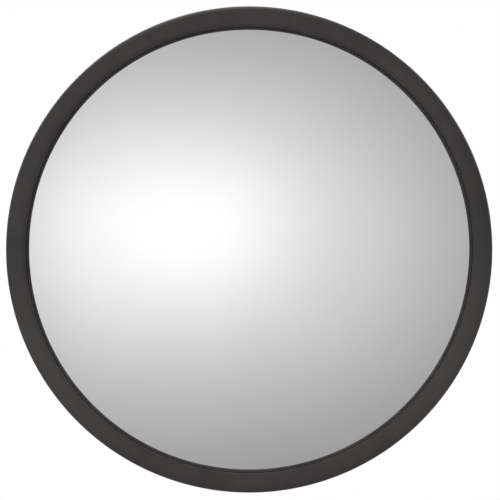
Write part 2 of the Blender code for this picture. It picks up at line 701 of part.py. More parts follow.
def add_pivot_bolt(kit, parent):
    """A hexagon-head bolt whose head lies on the left ear."""
    under_head = -EAR_OUTER - GAP
    end = EAR_OUTER + PIVOT_WASHER_WALL + WING_HUB_HEIGHT + 2 * GAP + THREAD_STAND
    profile = [(0.0, end), (PIVOT_RADIUS, end), (PIVOT_RADIUS, under_head - PIVOT_HEAD_HEIGHT / 2)]
    profile += [(0.0, under_head - PIVOT_HEAD_HEIGHT / 2)]
    mesh = turned_mesh("pivot_bolt", profile, SMALL_STEPS)
    bolt = kit.part("pivot_bolt", mesh, "zinc", parent, (0.0, -PIVOT_REACH, 0.0), SIDEWAYS)
    head_start = under_head - PIVOT_HEAD_HEIGHT
    kit.fuse(bolt, hexagon_mesh("pivot_bolt_head", PIVOT_HEAD_FLATS, PIVOT_HEAD_HEIGHT, head_start))


def add_pivot_washer(kit, parent):
    profile = washer_profile(PIVOT_HOLE, PIVOT_WASHER_RADIUS, PIVOT_WASHER_WALL)
    mesh = turned_mesh("pivot_washer", profile, ROUND_STEPS, closed=True)
    kit.part("pivot_washer", mesh, "zinc", parent, (EAR_OUTER + GAP, -PIVOT_REACH, 0.0), SIDEWAYS)


def add_wing_nut(kit, parent):
    """A threaded hub with two rounded wings."""
    profile = [(0.0, WING_HUB_HEIGHT), (WING_HUB_RADIUS - MM, WING_HUB_HEIGHT)]
    profile += [(WING_HUB_RADIUS, 0.0), (0.0, 0.0)]
    mesh = turned_mesh("wing_nut", profile, ROUND_STEPS)
    start = EAR_OUTER + PIVOT_WASHER_WALL + 2 * GAP
    nut = kit.part("wing_nut", mesh, "zinc", parent, (start, 0.0, 0.0), SIDEWAYS)
    root = WING_HUB_RADIUS - 2 * MM
    outline = arc((WING_SPREAD, WING_LIFT), (WING_ROUND, WING_ROUND), -50.0, 150.0, 12)
    outline += [(root, WING_HUB_HEIGHT - MM), (root, MM)]
    wing = flat_mesh("wing", [outline], WING_WALL)
    kit.fuse(nut, wing, rotation=(math.radians(90.0), 0.0, 0.0))
    kit.fuse(nut, wing, rotation=(math.radians(90.0), 0.0, math.radians(180.0)))
    bore = prism_mesh("wing_nut_bore", SMALL_STEPS, PIVOT_HOLE, 3 * WING_HUB_HEIGHT, -WING_HUB_HEIGHT)
    kit.cut(nut, bore)


# Wall plate and its fixings, measured from the wall

def screw_places():
    return [(side_x * SCREW_X, side_z * SCREW_Z) for side_z in (1, -1) for side_x in (-1, 1)]


def add_wall_plate(kit, parent):
    outlines = [rounded_rectangle(PLATE_WIDTH, PLATE_HEIGHT, PLATE_CORNER, 5)]
    outlines += [circle(place, SCREW_RADIUS + BOLT_CLEARANCE, SMALL_STEPS) for place in screw_places()]
    mesh = flat_mesh("wall_plate", outlines, PLATE_WALL)
    kit.part("wall_plate", mesh, "coat", parent, (0.0, -PLATE_WALL / 2, 0.0))


def wall_screw_mesh():
    """A pan-head screw, from the underside of its head at height 0 to its point."""
    profile = arc((0.0, 0.0), (SCREW_HEAD_RADIUS, SCREW_HEAD_HEIGHT), 90.0, 15.0, 4)
    profile += [(SCREW_HEAD_RADIUS, 0.0), (SCREW_RADIUS, 0.0)]
    profile += [(SCREW_RADIUS, SCREW_POINT - SCREW_LENGTH), (0.0, -SCREW_LENGTH)]
    mesh = turned_mesh("wall_screw_body", profile, SMALL_STEPS)
    slot_size = (SCREW_SLOT_LENGTH, SCREW_SLOT_WIDTH, 2 * SCREW_SLOT_DEPTH)
    for turn in (0.0, 90.0):
        slot = box_mesh("screw_slot", slot_size)
        place = (0.0, 0.0, SCREW_HEAD_HEIGHT)
        mesh = combined_mesh("wall_screw", mesh, slot, "DIFFERENCE", place, (0.0, 0.0, math.radians(turn)))
    return mesh


def add_wall_fixings(kit, parent):
    screw = wall_screw_mesh()
    bore = SCREW_RADIUS + GAP
    plug_profile = washer_profile(bore, bore + PLUG_WALL, PLUG_LENGTH)
    plug = turned_mesh("wall_plug", plug_profile, SMALL_STEPS, closed=True)
    for i, (x, z) in enumerate(screw_places(), 1):
        kit.part(f"wall_screw_{i}", screw, "zinc", parent, (x, -PLATE_WALL - GAP, z))
        kit.part(f"wall_plug_{i}", plug, "plug", parent, (x, PLUG_SET + PLUG_LENGTH, z))


def build():
    clear_scene()
    kit = Kit()
    wall = make_pivot("wall_mount", kit.parts, None, AT_REST)
    wing_turn = make_pivot("wing_nut_turn", kit.parts, wall, (0.0, -PIVOT_REACH, 0.0))
    wing_turn.rotation_euler.x = WING_TURN
    arm = make_pivot("arm_hinge", kit.parts, wall, (0.0, -PIVOT_REACH, 0.0))
    ball = (0.0, -ARM_REACH, 0.0)
    collar_turn = make_pivot("lock_collar_turn", kit.parts, arm, ball)
    pan = make_pivot("head_pan", kit.parts, arm, ball)
    tilt = make_pivot("head_tilt", kit.parts, pan, AT_REST)
    head = make_pivot("head_roll", kit.parts, tilt, AT_REST)

    add_wall_plate(kit, wall)
    add_wall_fixings(kit, wall)
    add_clevis(kit, wall)
    add_friction_washers(kit, wall)
    add_pivot_bolt(kit, wall)
    add_pivot_washer(kit, wall)
    add_wing_nut(kit, wing_turn)

    add_arm_tongue(kit, arm)
    add_arm_tube(kit, arm)
    add_tube_pins(kit, arm)
    socket = make_pivot("socket_centre", kit.parts, arm, ball)
    add_socket_cup(kit, socket)
    add_lock_collar(kit, collar_turn)

    add_liner(kit, pan)
    add_ball_stud(kit, tilt)
    add_stud_fasteners(kit, tilt)

    add_hub(kit, head)
    add_backing_plate(kit, head)
    add_hub_fasteners(kit, head)
    add_board(kit, head)
    add_lens(kit, head)
    add_trim(kit, head)


build()
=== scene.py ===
"""Convex security mirror: finished pieces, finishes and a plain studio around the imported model.

The mirror faces -Y and the wall is the plane Y = 0. A distance called reach runs from the wall
towards the viewer, along -Y. A distance called height runs along the line that a piece turns about.
"""

import json
import math

import bmesh
import bpy
from mathutils import Matrix, Vector


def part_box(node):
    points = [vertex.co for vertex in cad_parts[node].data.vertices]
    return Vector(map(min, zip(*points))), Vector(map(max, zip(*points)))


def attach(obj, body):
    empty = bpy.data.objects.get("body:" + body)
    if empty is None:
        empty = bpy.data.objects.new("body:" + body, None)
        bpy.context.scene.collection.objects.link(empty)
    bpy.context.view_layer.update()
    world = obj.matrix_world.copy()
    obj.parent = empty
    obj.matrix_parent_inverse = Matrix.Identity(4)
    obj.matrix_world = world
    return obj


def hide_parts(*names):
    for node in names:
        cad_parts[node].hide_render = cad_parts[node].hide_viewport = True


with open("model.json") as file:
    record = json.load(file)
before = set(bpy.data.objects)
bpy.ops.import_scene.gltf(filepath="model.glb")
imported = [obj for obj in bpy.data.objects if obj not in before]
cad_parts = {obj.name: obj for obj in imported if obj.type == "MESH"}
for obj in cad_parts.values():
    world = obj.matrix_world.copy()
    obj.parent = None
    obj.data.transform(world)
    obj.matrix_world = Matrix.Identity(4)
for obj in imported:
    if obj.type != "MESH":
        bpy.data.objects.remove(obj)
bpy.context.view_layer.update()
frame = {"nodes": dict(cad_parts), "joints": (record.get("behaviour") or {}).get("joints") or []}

bl_info = {
    "name": "Convex Security Mirror",
    "version": (1, 0, 0),
    "blender": (4, 5, 0),
    "location": "3D View > Sidebar > Security Mirror",
    "description": "Builds the finished pieces of a wall-mounted convex mirror round its packed model",
    "category": "Object",
}

MM = 0.001
GAP = 0.3 * MM              # between faces that touch
BOLT_CLEARANCE = 0.3 * MM   # round a shank in its hole
WELD = 0.001 * MM

# Facets round a full turn
WIDE_STEPS = 288
ROUND_STEPS = 72
SMALL_STEPS = 40

RIGHT = Vector((1.0, 0.0, 0.0))
FORWARD = Vector((0.0, -1.0, 0.0))
BACK = -FORWARD
UP = Vector((0.0, 0.0, 1.0))


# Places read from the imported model

def joint_place(name):
    return Vector(next(joint for joint in frame["joints"] if joint["name"] == name)["pos_m"])


def reach_of(node):
    """How far a node's back and its front lie from the wall."""
    low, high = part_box(node)
    return -high.y, -low.y


def radius_of(node):
    low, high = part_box(node)
    return (high.x - low.x) / 2


def middle_of(node):
    low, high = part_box(node)
    return (low + high) / 2


def numbered(stem, count=4):
    return [f"{stem}_{number}" for number in range(1, count + 1)]


LENS_BACK, DOME_APEX = reach_of("mirror_lens")
LENS_RADIUS = radius_of("mirror_lens")
TRIM_BACK, TRIM_FRONT = reach_of("rim_trim")
TRIM_RADIUS = radius_of("rim_trim")
HUB_BACK, HUB_FRONT = reach_of("hub_plate")
HUB_RADIUS = radius_of("hub_plate")
BALL_REACH = -joint_place("head_pan").y
BALL_RADIUS = BALL_REACH - reach_of("ball_stud")[0]
PIVOT = joint_place("arm_hinge")
PIVOT_REACH = -PIVOT.y
TUBE_START, TUBE_END = reach_of("arm_tube")
TUBE_RADIUS = radius_of("arm_tube")
PLATE_LOW, PLATE_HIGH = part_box("wall_plate")
PLATE_WALL = PLATE_HIGH.y - PLATE_LOW.y


# How the edge trim has settled in use, and where a highlight is painted on it

# The lip's waves: how many go round the rim, their share, and where one of them lies outermost
LIP_WAVES = (
    (2, 0.95, math.radians(66.0)),
    (3, 1.10, math.radians(62.7)),
    (4, 0.95, math.radians(49.3)),
)
# Where a highlight is painted into the rim's colour, low on both sides
PAINTED_HIGHLIGHT_PLACES = [
    (TRIM_RADIUS * math.sin(angle), -TRIM_FRONT, TRIM_RADIUS * math.cos(angle))
    for angle in (math.radians(122.0), math.radians(238.0))
]


# Settings

def size_property(name, description, default):
    return bpy.props.FloatProperty(
        name=name, description=description, default=default, min=0.0, precision=5, unit="LENGTH"
    )


def angle_property(name, description, degrees):
    return bpy.props.FloatProperty(
        name=name, description=description, default=math.radians(degrees), subtype="ANGLE"
    )


def share_property(name, description, default):
    return bpy.props.FloatProperty(
        name=name, description=description, default=default, min=0.0, max=1.0, subtype="FACTOR"
    )


def count_property(name, description, default):
    return bpy.props.IntProperty(name=name, description=description, default=default, min=1)


def number_property(name, description, default):
    return bpy.props.FloatProperty(name=name, description=description, default=default, min=0.0)


def colour_property(name, description, default):
    return bpy.props.FloatVectorProperty(
        name=name, description=description, default=default, size=3, min=0.0, max=1.0, subtype="COLOR"
    )


class FaceSettings(bpy.types.PropertyGroup):
    wall: size_property("Sheet Thickness", "Thickness of the blown acrylic sheet", 2.5 * MM)
    flange: size_property("Flat Margin", "Width of the flat margin outside the dome", 8.0 * MM)
    silver: colour_property("Silver", "Colour of the silvering", (0.90, 0.90, 0.90))
    polish: share_property("Haze", "Roughness of the polished face", 0.02)


class TrimSettings(bpy.types.PropertyGroup):
    crown_half: size_property("Crown Half Width", "From the crown to the outside", 12.5 * MM)
    crown_foot: size_property("Crown Foot", "Height at which the crown's round begins", 1.0 * MM)
    fullness: number_property("Fullness", "2 is an ellipse, more is squarer", 2.6)
    lip_lap: size_property("Lip Lap", "How far the lip runs over the dome's foot", 4.0 * MM)
    lip_wall: size_property("Lip Edge", "Height of the lip's upright edge", 1.1 * MM)
    lip_wander: size_property("Lip Wander", "How far each wave bends the lip in and out", 0.33 * MM)
    back_wall: size_property("Back Thickness", "Thickness of the flange behind the board", 2.2 * MM)
    back_lap: size_property("Back Lap", "How far the back flange runs in over the board", 12.0 * MM)
    butt_gap: size_property("Butt Gap", "Gap where the two ends of the channel meet", 0.05 * MM)
    butt_skew: size_property("Butt Skew", "How far the cut ends lean from front to back", 0.5 * MM)
    butt_angle: angle_property("Butt Angle", "Place of the butt joint, clockwise from the top", 11.2)
    vinyl: colour_property("Vinyl", "Colour of the soft vinyl", (0.0272, 0.0237, 0.0222))


class HubSettings(bpy.types.PropertyGroup):
    wall: size_property("Sheet Thickness", "Thickness of the pressed hub", 2.0 * MM)
    top: size_property("Crown Radius", "Radius of the hub's flat crown", 22.0 * MM)
    foot: size_property("Foot Radius", "Radius where the hub meets its flange", 30.0 * MM)
    bolt: size_property("Bolt Radius", "Radius of the hub bolts", 2.5 * MM)
    bolt_head: size_property("Bolt Head Height", "Height of the button heads", 2.8 * MM)
    socket_flats: size_property("Key Size", "Across the flats of the key socket", 3.0 * MM)
    socket_depth: size_property("Key Depth", "Depth of the key socket", 1.6 * MM)
    zinc: colour_property("Zinc", "Colour of the zinc plate", (0.60, 0.61, 0.62))


class JointSettings(bpy.types.PropertyGroup):
    neck: size_property("Neck Radius", "Radius of the ball stud's neck", 4.0 * MM)
    flats: size_property("Stud Hexagon", "Across the flats of the stud's hexagon", 13.0 * MM)
    flange: size_property("Stud Hexagon Height", "Height of the stud's hexagon", 4.0 * MM)
    liner_wall: size_property("Liner Thickness", "Thickness of the nylon liner", 2.0 * MM)
    liner_half: angle_property("Liner Reach", "How far the liner wraps each side of the ball", 30.0)
    liner_slit: angle_property("Liner Slit", "Width of the slit that lets the liner close", 9.0)
    flutes: count_property("Collar Flutes", "Grip flutes round the lock collar", 24)
    flute_depth: size_property("Flute Depth", "Depth of each grip flute", 0.7 * MM)
    thread_pitch: size_property("Thread Pitch", "Pitch of the cup's outer thread", 2.0 * MM)
    nylon: colour_property("Nylon", "Colour of the nylon", (0.80, 0.78, 0.70))


class ArmSettings(bpy.types.PropertyGroup):
    wall: size_property("Tube Wall", "Wall of the arm's tube", 1.5 * MM)
    tongue: size_property("Eye Thickness", "Thickness of the flat eye", 8.0 * MM)
    shoulder: size_property("Shoulder", "Length of the round shoulder behind the tube", 4.0 * MM)
    pin: size_property("Pin Radius", "Radius of the cross pins", 2.0 * MM)
    coat: colour_property("Powder Coat", "Colour of the powder coat", (0.022, 0.022, 0.023))


class HingeSettings(bpy.types.PropertyGroup):
    ear_wall: size_property("Ear Thickness", "Thickness of each ear", 3.0 * MM)
    ear_radius: size_property("Ear Radius", "Radius of each ear's round end", 11.0 * MM)
    foot_corner: size_property("Foot Corner", "Corner radius of the foot", 4.0 * MM)
    bead: size_property("Weld Bead", "Radius of the weld beads at the ears' roots", 1.9 * MM)
    bolt: size_property("Bolt Radius", "Radius of the hinge bolt", 4.0 * MM)
    bolt_flats: size_property("Bolt Head Flats", "Across the flats of the bolt's head", 13.0 * MM)
    bolt_pitch: size_property("Bolt Pitch", "Pitch of the hinge bolt's thread", 1.25 * MM)
    wing_wall: size_property("Wing Thickness", "Thickness of the wings", 2.6 * MM)
    wing_round: size_property("Wing Round", "Radius of each wing's round end", 5.2 * MM)
    wing_turn: angle_property("Wing Turn", "Angle that the wings are left at", 28.0)


class WallSettings(bpy.types.PropertyGroup):
    corner: size_property("Plate Corner", "Corner radius of the wall plate", 10.0 * MM)
    screw: size_property("Screw Radius", "Radius of the wall screws' thread", 2.4 * MM)
    screw_head: size_property("Screw Head Height", "Height of the pan heads", 3.0 * MM)
    screw_pitch: size_property("Screw Pitch", "Pitch of the wall screws", 2.2 * MM)
    plug_wall: size_property("Plug Wall", "Wall of the wall plugs", 1.3 * MM)
    grey: colour_property("Plug Plastic", "Colour of the wall plugs", (0.30, 0.31, 0.32))
    board: colour_property("Hardboard", "Colour of the backing board", (0.20, 0.11, 0.055))


class StageSettings(bpy.types.PropertyGroup):
    floor_drop: size_property("Floor Drop", "Distance of the floor below the bracket", 0.6)
    floor_radius: size_property("Floor Radius", "Radius of the round floor", 2.3)
    floor: colour_property("Floor", "Colour of the floor", (0.80, 0.80, 0.79))
    lens: number_property("Camera Lens", "Focal length in millimetres", 135.0)
    view_width: size_property("View Width", "Width that the camera takes in at the edge trim", 468.2 * MM)
    aim_right: size_property("Aim Right", "How far the camera stands to the mirror's right", 0.75 * MM)
    aim_down: size_property("Aim Down", "How far the camera stands below the mirror's middle", 0.52 * MM)


class SecurityMirrorSettings(bpy.types.PropertyGroup):
    face: bpy.props.PointerProperty(type=FaceSettings, name="Face")
    trim: bpy.props.PointerProperty(type=TrimSettings, name="Edge Trim")
    hub: bpy.props.PointerProperty(type=HubSettings, name="Hub")
    joint: bpy.props.PointerProperty(type=JointSettings, name="Ball Joint")
    arm: bpy.props.PointerProperty(type=ArmSettings, name="Arm")
    hinge: bpy.props.PointerProperty(type=HingeSettings, name="Hinge")
    wall: bpy.props.PointerProperty(type=WallSettings, name="Wall Fixing")
    stage: bpy.props.PointerProperty(type=StageSettings, name="Stage")


# Outlines

def softened(corners, closed=True, pieces=4):
    """An outline with rounded corners. Each corner is (across, along, radius of its round)."""
    points = []
    last = len(corners) - 1
    for i, (across, along, radius) in enumerate(corners):
        here = Vector((across, along))
        if radius <= 0.0 or (not closed and i in (0, last)):
            points.append(here)
            continue
        before = (Vector(corners[i - 1][:2]) - here).normalized()
        after = (Vector(corners[(i + 1) % len(corners)][:2]) - here).normalized()
        half = before.angle(after) / 2
        centre = here + (before + after).normalized() * radius / math.sin(half)
        start = here + before * radius / math.tan(half) - centre
        sweep = start.angle_signed(here + after * radius / math.tan(half) - centre)
        for k in range(pieces + 1):
            points.append(centre + Matrix.Rotation(-sweep * k / pieces, 2) @ start)
    return points


def arc(centre, radius, start, end, pieces):
    """Points on an arc, both ends included. Angles are in degrees."""
    points = []
    for k in range(pieces + 1):
        angle = math.radians(start + (end - start) * k / pieces)
        points.append(Vector((centre[0] + radius * math.cos(angle), centre[1] + radius * math.sin(angle))))
    return points


def ball_arc(radius, start, end, pieces, centre=0.0):
    """(radius, height) points on a sphere, by their angle in degrees from the front of its axis."""
    points = []
    for k in range(pieces + 1):
        angle = math.radians(start + (end - start) * k / pieces)
        points.append(Vector((radius * math.sin(angle), centre + radius * math.cos(angle))))
    return points


def rounded_plate(half_width, half_tall, corner, pieces):
    """A rectangle about its middle, with equal round corners."""
    signs = ((1.0, 1.0), (-1.0, 1.0), (-1.0, -1.0), (1.0, -1.0))
    return softened([(x * half_width, z * half_tall, corner) for x, z in signs], pieces=pieces)


def ring_section(bore, radius, start, end, rounds, pieces=3):
    """A ring's section. Its rounds run from the bore outwards at the start and back again at the end."""
    places = ((bore, start), (radius, start), (radius, end), (bore, end))
    return softened([(*place, size) for place, size in zip(places, rounds)], pieces=pieces)


def stepped(start, end, pitch):
    """Heights from start to end at an even pitch, both ends included."""
    count = max(1, round(abs(end - start) / pitch))
    return [start + (end - start) * k / count for k in range(count + 1)]


def thread_rows(radius, start, end, spacing):
    """The rows of points that a thread is pressed into."""
    return [Vector((radius, height)) for height in stepped(start, end, spacing)]


# Modelling by hand

class Line:
    """The line that a piece is turned about, and the side on which its outline is drawn."""

    def __init__(self, origin=(0.0, 0.0, 0.0), along=FORWARD, across=RIGHT):
        self.origin = Vector(origin)
        self.along = Vector(along)
        self.across = Vector(across)

    def point(self, across, along):
        return self.origin + self.across * across + self.along * along

    def turned(self, angle):
        """The same line with its drawing side turned about it."""
        across = Matrix.Rotation(angle, 3, self.along) @ self.across
        return Line(self.origin, self.along, across)


def let_go():
    if bpy.context.object and bpy.context.object.mode != "OBJECT":
        bpy.ops.object.mode_set(mode="OBJECT")
    bpy.ops.object.select_all(action="DESELECT")


def take(obj):
    let_go()
    obj.select_set(True)
    bpy.context.view_layer.objects.active = obj


def open_mesh(obj):
    take(obj)
    bpy.ops.object.mode_set(mode="EDIT")
    bpy.ops.mesh.select_all(action="SELECT")


def close_mesh():
    bpy.ops.object.mode_set(mode="OBJECT")


def tidy_shell():
    """Merges what lies in one place and turns every face outwards, in edit mode."""
    bpy.ops.mesh.select_all(action="SELECT")
    bpy.ops.mesh.remove_doubles(threshold=WELD)
    bpy.ops.mesh.normals_make_consistent(inside=False)


def draw_outline(name, points, closed):
    """A chain of edges drawn corner by corner from one vertex. It is left open in edit mode."""
    let_go()
    bpy.ops.mesh.primitive_plane_add(size=MM, location=(0.0, 0.0, 0.0))
    obj = bpy.context.object
    obj.name = name
    obj.data.name = name
    bpy.ops.object.mode_set(mode="EDIT")
    bpy.ops.mesh.merge(type="CENTER")
    bpy.ops.transform.translate(value=points[0])
    path = list(points) + ([points[0]] if closed else [])
    for here, there in zip(path, path[1:]):
        bpy.ops.mesh.extrude_region_move(TRANSFORM_OT_translate={"value": there - here})
    bpy.ops.mesh.select_all(action="SELECT")
    bpy.ops.mesh.remove_doubles(threshold=WELD)
    bpy.ops.mesh.select_all(action="SELECT")
    return obj


def lathe(name, outline, line, steps, closed=False, opening=0.0):
    """A solid spun from (radius, height) points. An opening, as an angle, leaves its ends apart."""
    start = line.turned(opening / 2)
    obj = draw_outline(name, [start.point(*point) for point in outline], closed)
    bpy.ops.mesh.spin(steps=steps, angle=2 * math.pi - opening, center=line.origin, axis=line.along)
    tidy_shell()
    if opening:
        bpy.ops.mesh.select_all(action="DESELECT")
        bpy.ops.mesh.select_non_manifold()
        bpy.ops.mesh.fill_holes(sides=0)
        tidy_shell()
    close_mesh()
    return obj


def slab(name, outline, line, side, wall):
    """A plate from an outline in (across, along) of a line, thickened along side."""
    obj = draw_outline(name, [line.point(*point) for point in outline], True)
    bpy.ops.mesh.edge_face_add()
    bpy.ops.mesh.extrude_region_move(TRANSFORM_OT_translate={"value": side * wall})
    tidy_shell()
    close_mesh()
    return obj


def rod(name, radius, line, start, end, steps=SMALL_STEPS):
    """A plain round bar, used as a drill or as stock."""
    outline = [(0.0, start), (radius, start), (radius, end), (0.0, end)]
    return lathe(name, [Vector(point) for point in outline], line, steps)


CHAMFER_SLOPE = 0.577   # a hexagon's corners are turned off at 30 degrees


def hexagon(name, flats, line, start, end, chamfer=0.12):
    """A hexagon with its corners turned off at the end."""
    corner = flats / math.sqrt(3)
    size = end - start
    obj = slab(name, arc((0.0, 0.0), corner, 0.0, 300.0, 5), across_plane(line, start), line.along, size)
    drop = corner * chamfer
    sign = math.copysign(1.0, size)
    outline = [(0.0, start - sign * MM), (2 * corner, start - sign * MM)]
    outline += [(2 * corner, end - sign * (drop + corner) * CHAMFER_SLOPE), (corner - drop, end), (0.0, end)]
    turned = lathe(name + "_turning", [Vector(point) for point in outline], line, ROUND_STEPS)
    return combine(obj, turned, "INTERSECT")


def across_plane(line, height):
    """The plane across a line at some height, as a line whose outline lies in it."""
    side = line.along.cross(line.across)
    return Line(line.point(0.0, height), side, line.across)


def add_modifier(obj, kind, **settings):
    take(obj)
    modifier = obj.modifiers.new(kind.title(), kind)
    for key, value in settings.items():
        setattr(modifier, key, value)
    bpy.ops.object.modifier_apply(modifier=modifier.name)
    return obj


def combine(obj, tool, operation):
    """Cuts obj with a tool, or joins them, and throws the tool away."""
    add_modifier(obj, "BOOLEAN", operation=operation, solver="EXACT", object=tool)
    bpy.data.objects.remove(tool, do_unlink=True)
    if not obj.data.polygons:
        raise RuntimeError(f"{obj.name} has no faces left after a Boolean")
    return obj


def cut(obj, *tools):
    for tool in tools:
        combine(obj, tool, "DIFFERENCE")
    return obj


def fuse(obj, *tools):
    for tool in tools:
        combine(obj, tool, "UNION")
    return obj


def soften_edges(obj, width, angle=40.0, segments=3):
    """Rounds the edges that turn by more than an angle."""
    return add_modifier(
        obj,
        "BEVEL",
        width=width,
        segments=segments,
        limit_method="ANGLE",
        angle_limit=math.radians(angle),
        harden_normals=False,
        use_clamp_overlap=True,
    )


def press_thread(obj, line, start, end, radius, pitch, depth, fade=1.0):
    """Sinks a helical groove into the rows of a turned bar between two heights."""
    open_mesh(obj)
    work = bmesh.from_edit_mesh(obj.data)
    side = line.along.cross(line.across)
    low, high = min(start, end), max(start, end)
    for vertex in work.verts:
        place = vertex.co - line.origin
        height = place.dot(line.along)
        spoke = place - line.along * height
        if not low < height < high or abs(spoke.length - radius) > 0.05 * MM:
            continue
        turn = math.atan2(spoke.dot(side), spoke.dot(line.across)) / (2 * math.pi)
        phase = (height / pitch - turn) % 1.0
        groove = min(1.0, 1.6 * (1.0 - abs(2.0 * phase - 1.0)))
        ease = min(1.0, (height - low) / (fade * pitch), (high - height) / (fade * pitch))
        vertex.co = line.origin + line.along * height + spoke * (1.0 - depth * groove * ease / spoke.length)
    bmesh.update_edit_mesh(obj.data)
    bpy.ops.mesh.select_all(action="SELECT")
    bpy.ops.mesh.normals_make_consistent(inside=False)
    close_mesh()
    return obj


def copy_to(obj, name, shift):
    """A copy with its own mesh, moved by shift."""
    take(obj)
    bpy.ops.object.duplicate(linked=False)
    twin = bpy.context.object
    twin.name = name
    twin.data.name = name
    open_mesh(twin)
    bpy.ops.transform.translate(value=shift)
    close_mesh()
    return twin


def one_at_each(obj, stem, nodes):
    """The piece, which stands at the first node, and a copy of it at each of the others."""
    pieces = [obj]
    for number, node in enumerate(nodes[1:], 2):
        pieces.append(copy_to(obj, f"{stem}_{number}", middle_of(node) - middle_of(nodes[0])))
    return pieces


def finish_piece(obj, settings, body, slot, *nodes, crease=35.0):
    """Shades a piece, gives it its slot's finish, ties it to its body and hides the nodes it stands for."""
    take(obj)
    bpy.ops.object.shade_smooth_by_angle(angle=math.radians(crease))
    obj.data.materials.clear()
    obj.data.materials.append(finish_of(slot, settings))
    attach(obj, body)
    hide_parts(*nodes)
    return obj


def refinish_node(name, finish):
    """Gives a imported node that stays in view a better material."""
    node = frame["nodes"][name]
    if not node.data.materials:
        node.data.materials.append(finish)
    for place in node.material_slots:
        place.material = finish


# Finishes

class Finish:
    """A material with the nodes that vary it. All its patterns read object coordinates."""

    def __init__(self, name, colour, roughness, metallic=0.0):
        self.material = bpy.data.materials.new(name)
        self.material.use_nodes = True
        self.material.diffuse_color = (*colour, 1.0)
        self.nodes = self.material.node_tree.nodes
        self.links = self.material.node_tree.links
        self.shader = self.nodes["Principled BSDF"]
        self.colour = colour
        self.set("Base Color", (*colour, 1.0))
        self.set("Roughness", roughness)
        self.set("Metallic", metallic)
        places = self.nodes.new("ShaderNodeTexCoord")
        self.coordinates = places.outputs["Object"]
        self.normals = places.outputs["Normal"]

    def set(self, socket, value):
        self.shader.inputs[socket].default_value = value

    def feed(self, socket, output):
        self.links.new(output, self.shader.inputs[socket])

    def node(self, kind, inputs, **settings):
        node = self.nodes.new(kind)
        for key, value in settings.items():
            setattr(node, key, value)
        for key, value in inputs.items():
            if isinstance(value, bpy.types.NodeSocket):
                self.links.new(value, node.inputs[key])
            else:
                node.inputs[key].default_value = value
        return node

    def math(self, operation, first, second=0.0):
        return self.node("ShaderNodeMath", {0: first, 1: second}, operation=operation).outputs[0]

    def noise(self, size, detail=3.0, stretch=(1.0, 1.0, 1.0), turn=(0.0, 0.0, 0.0), vector=None):
        """Soft noise whose marks are about so many metres across."""
        place = self.node(
            "ShaderNodeMapping",
            {"Vector": vector or self.coordinates, "Scale": stretch, "Rotation": turn},
        )
        texture = self.node(
            "ShaderNodeTexNoise",
            {"Vector": place.outputs[0], "Scale": 1.0 / size, "Detail": detail, "Roughness": 0.55},
        )
        return texture.outputs[0]

    def cells(self, size, feature="F1"):
        texture = self.node(
            "ShaderNodeTexVoronoi", {"Vector": self.coordinates, "Scale": 1.0 / size}, feature=feature
        )
        return texture.outputs[0]

    def ranged(self, value, low, high, to_low=0.0, to_high=1.0):
        node = self.node(
            "ShaderNodeMapRange",
            {"Value": value, "From Min": low, "From Max": high, "To Min": to_low, "To Max": to_high},
            clamp=True,
        )
        return node.outputs[0]

    def blend(self, share, first, second):
        """A colour between two, each of them a colour or an output."""
        node = self.nodes.new("ShaderNodeMix")
        node.data_type = "RGBA"
        self.links.new(share, node.inputs[0])
        for index, colour in ((6, first), (7, second)):
            if isinstance(colour, bpy.types.NodeSocket):
                self.links.new(colour, node.inputs[index])
            else:
                node.inputs[index].default_value = (*colour, 1.0)
        return node.outputs[2]

    def measure(self, operation, vector):
        """A length or a dot product of the coordinates with a vector."""
        node = self.node("ShaderNodeVectorMath", {0: self.coordinates, 1: vector}, operation=operation)
        return node.outputs["Value"]

    def near(self, place, close, far):
        """1 within one distance of a place, falling to 0 at another."""
        return self.ranged(self.measure("DISTANCE", place), close, far, 1.0, 0.0)

    def shade(self, factor):
        """The finish's colour made lighter or darker."""
        return tuple(min(1.0, channel * factor) for channel in self.colour)

    def relief(self, height, depth, under=None):
        """Bumps so many metres deep, on top of any already made."""
        inputs = {"Height": height, "Strength": 1.0, "Distance": depth}
        if under is not None:
            inputs["Normal"] = under
        return self.node("ShaderNodeBump", inputs).outputs[0]

    def facing_up(self):
        """1 where the surface faces straight up, -1 where it faces down."""
        return self.node("ShaderNodeSeparateXYZ", {0: self.normals}).outputs[2]

    def ring_coordinates(self):
        """Coordinates that run out from the mirror's axis and forwards, the same all the way round."""
        parts = self.node("ShaderNodeSeparateXYZ", {0: self.coordinates}).outputs
        squares = [self.math("MULTIPLY", parts[axis], parts[axis]) for axis in (0, 2)]
        out = self.math("SQRT", self.math("ADD", *squares))
        return self.node("ShaderNodeCombineXYZ", {0: out, 1: parts[1]}).outputs[0]


def silvered_acrylic(settings):
    """Silvered acrylic with a breath of haze, dust and hairline marks."""
    finish = Finish("silvered acrylic", settings.silver, settings.polish, 1.0)
    haze = finish.noise(90 * MM, 4.0)
    dust = finish.ranged(finish.cells(2.2 * MM), 0.03, 0.10, 1.0, 0.0)
    patches = finish.ranged(finish.noise(25 * MM, 2.0), 0.45, 0.70)
    specks = finish.math("MULTIPLY", dust, patches)
    tone = finish.ranged(haze, 0.3, 0.7)
    clean = finish.blend(tone, finish.shade(0.985), finish.shade(1.01))
    finish.feed("Base Color", finish.blend(specks, clean, finish.shade(0.93)))
    rough = finish.ranged(haze, 0.3, 0.7, settings.polish * 0.7, settings.polish * 1.6)
    finish.feed("Roughness", finish.math("ADD", rough, finish.math("MULTIPLY", specks, 0.05)))
    lines = finish.noise(1.5 * MM, 1.0, (1.0, 1.0, 0.015), (0.0, math.radians(35.0), 0.0))
    scuffs = finish.ranged(lines, 0.70, 0.76)
    ripple = finish.relief(finish.noise(60 * MM, 1.0), 0.02 * MM)
    finish.feed("Normal", finish.relief(scuffs, 0.001 * MM, ripple))
    return finish.material


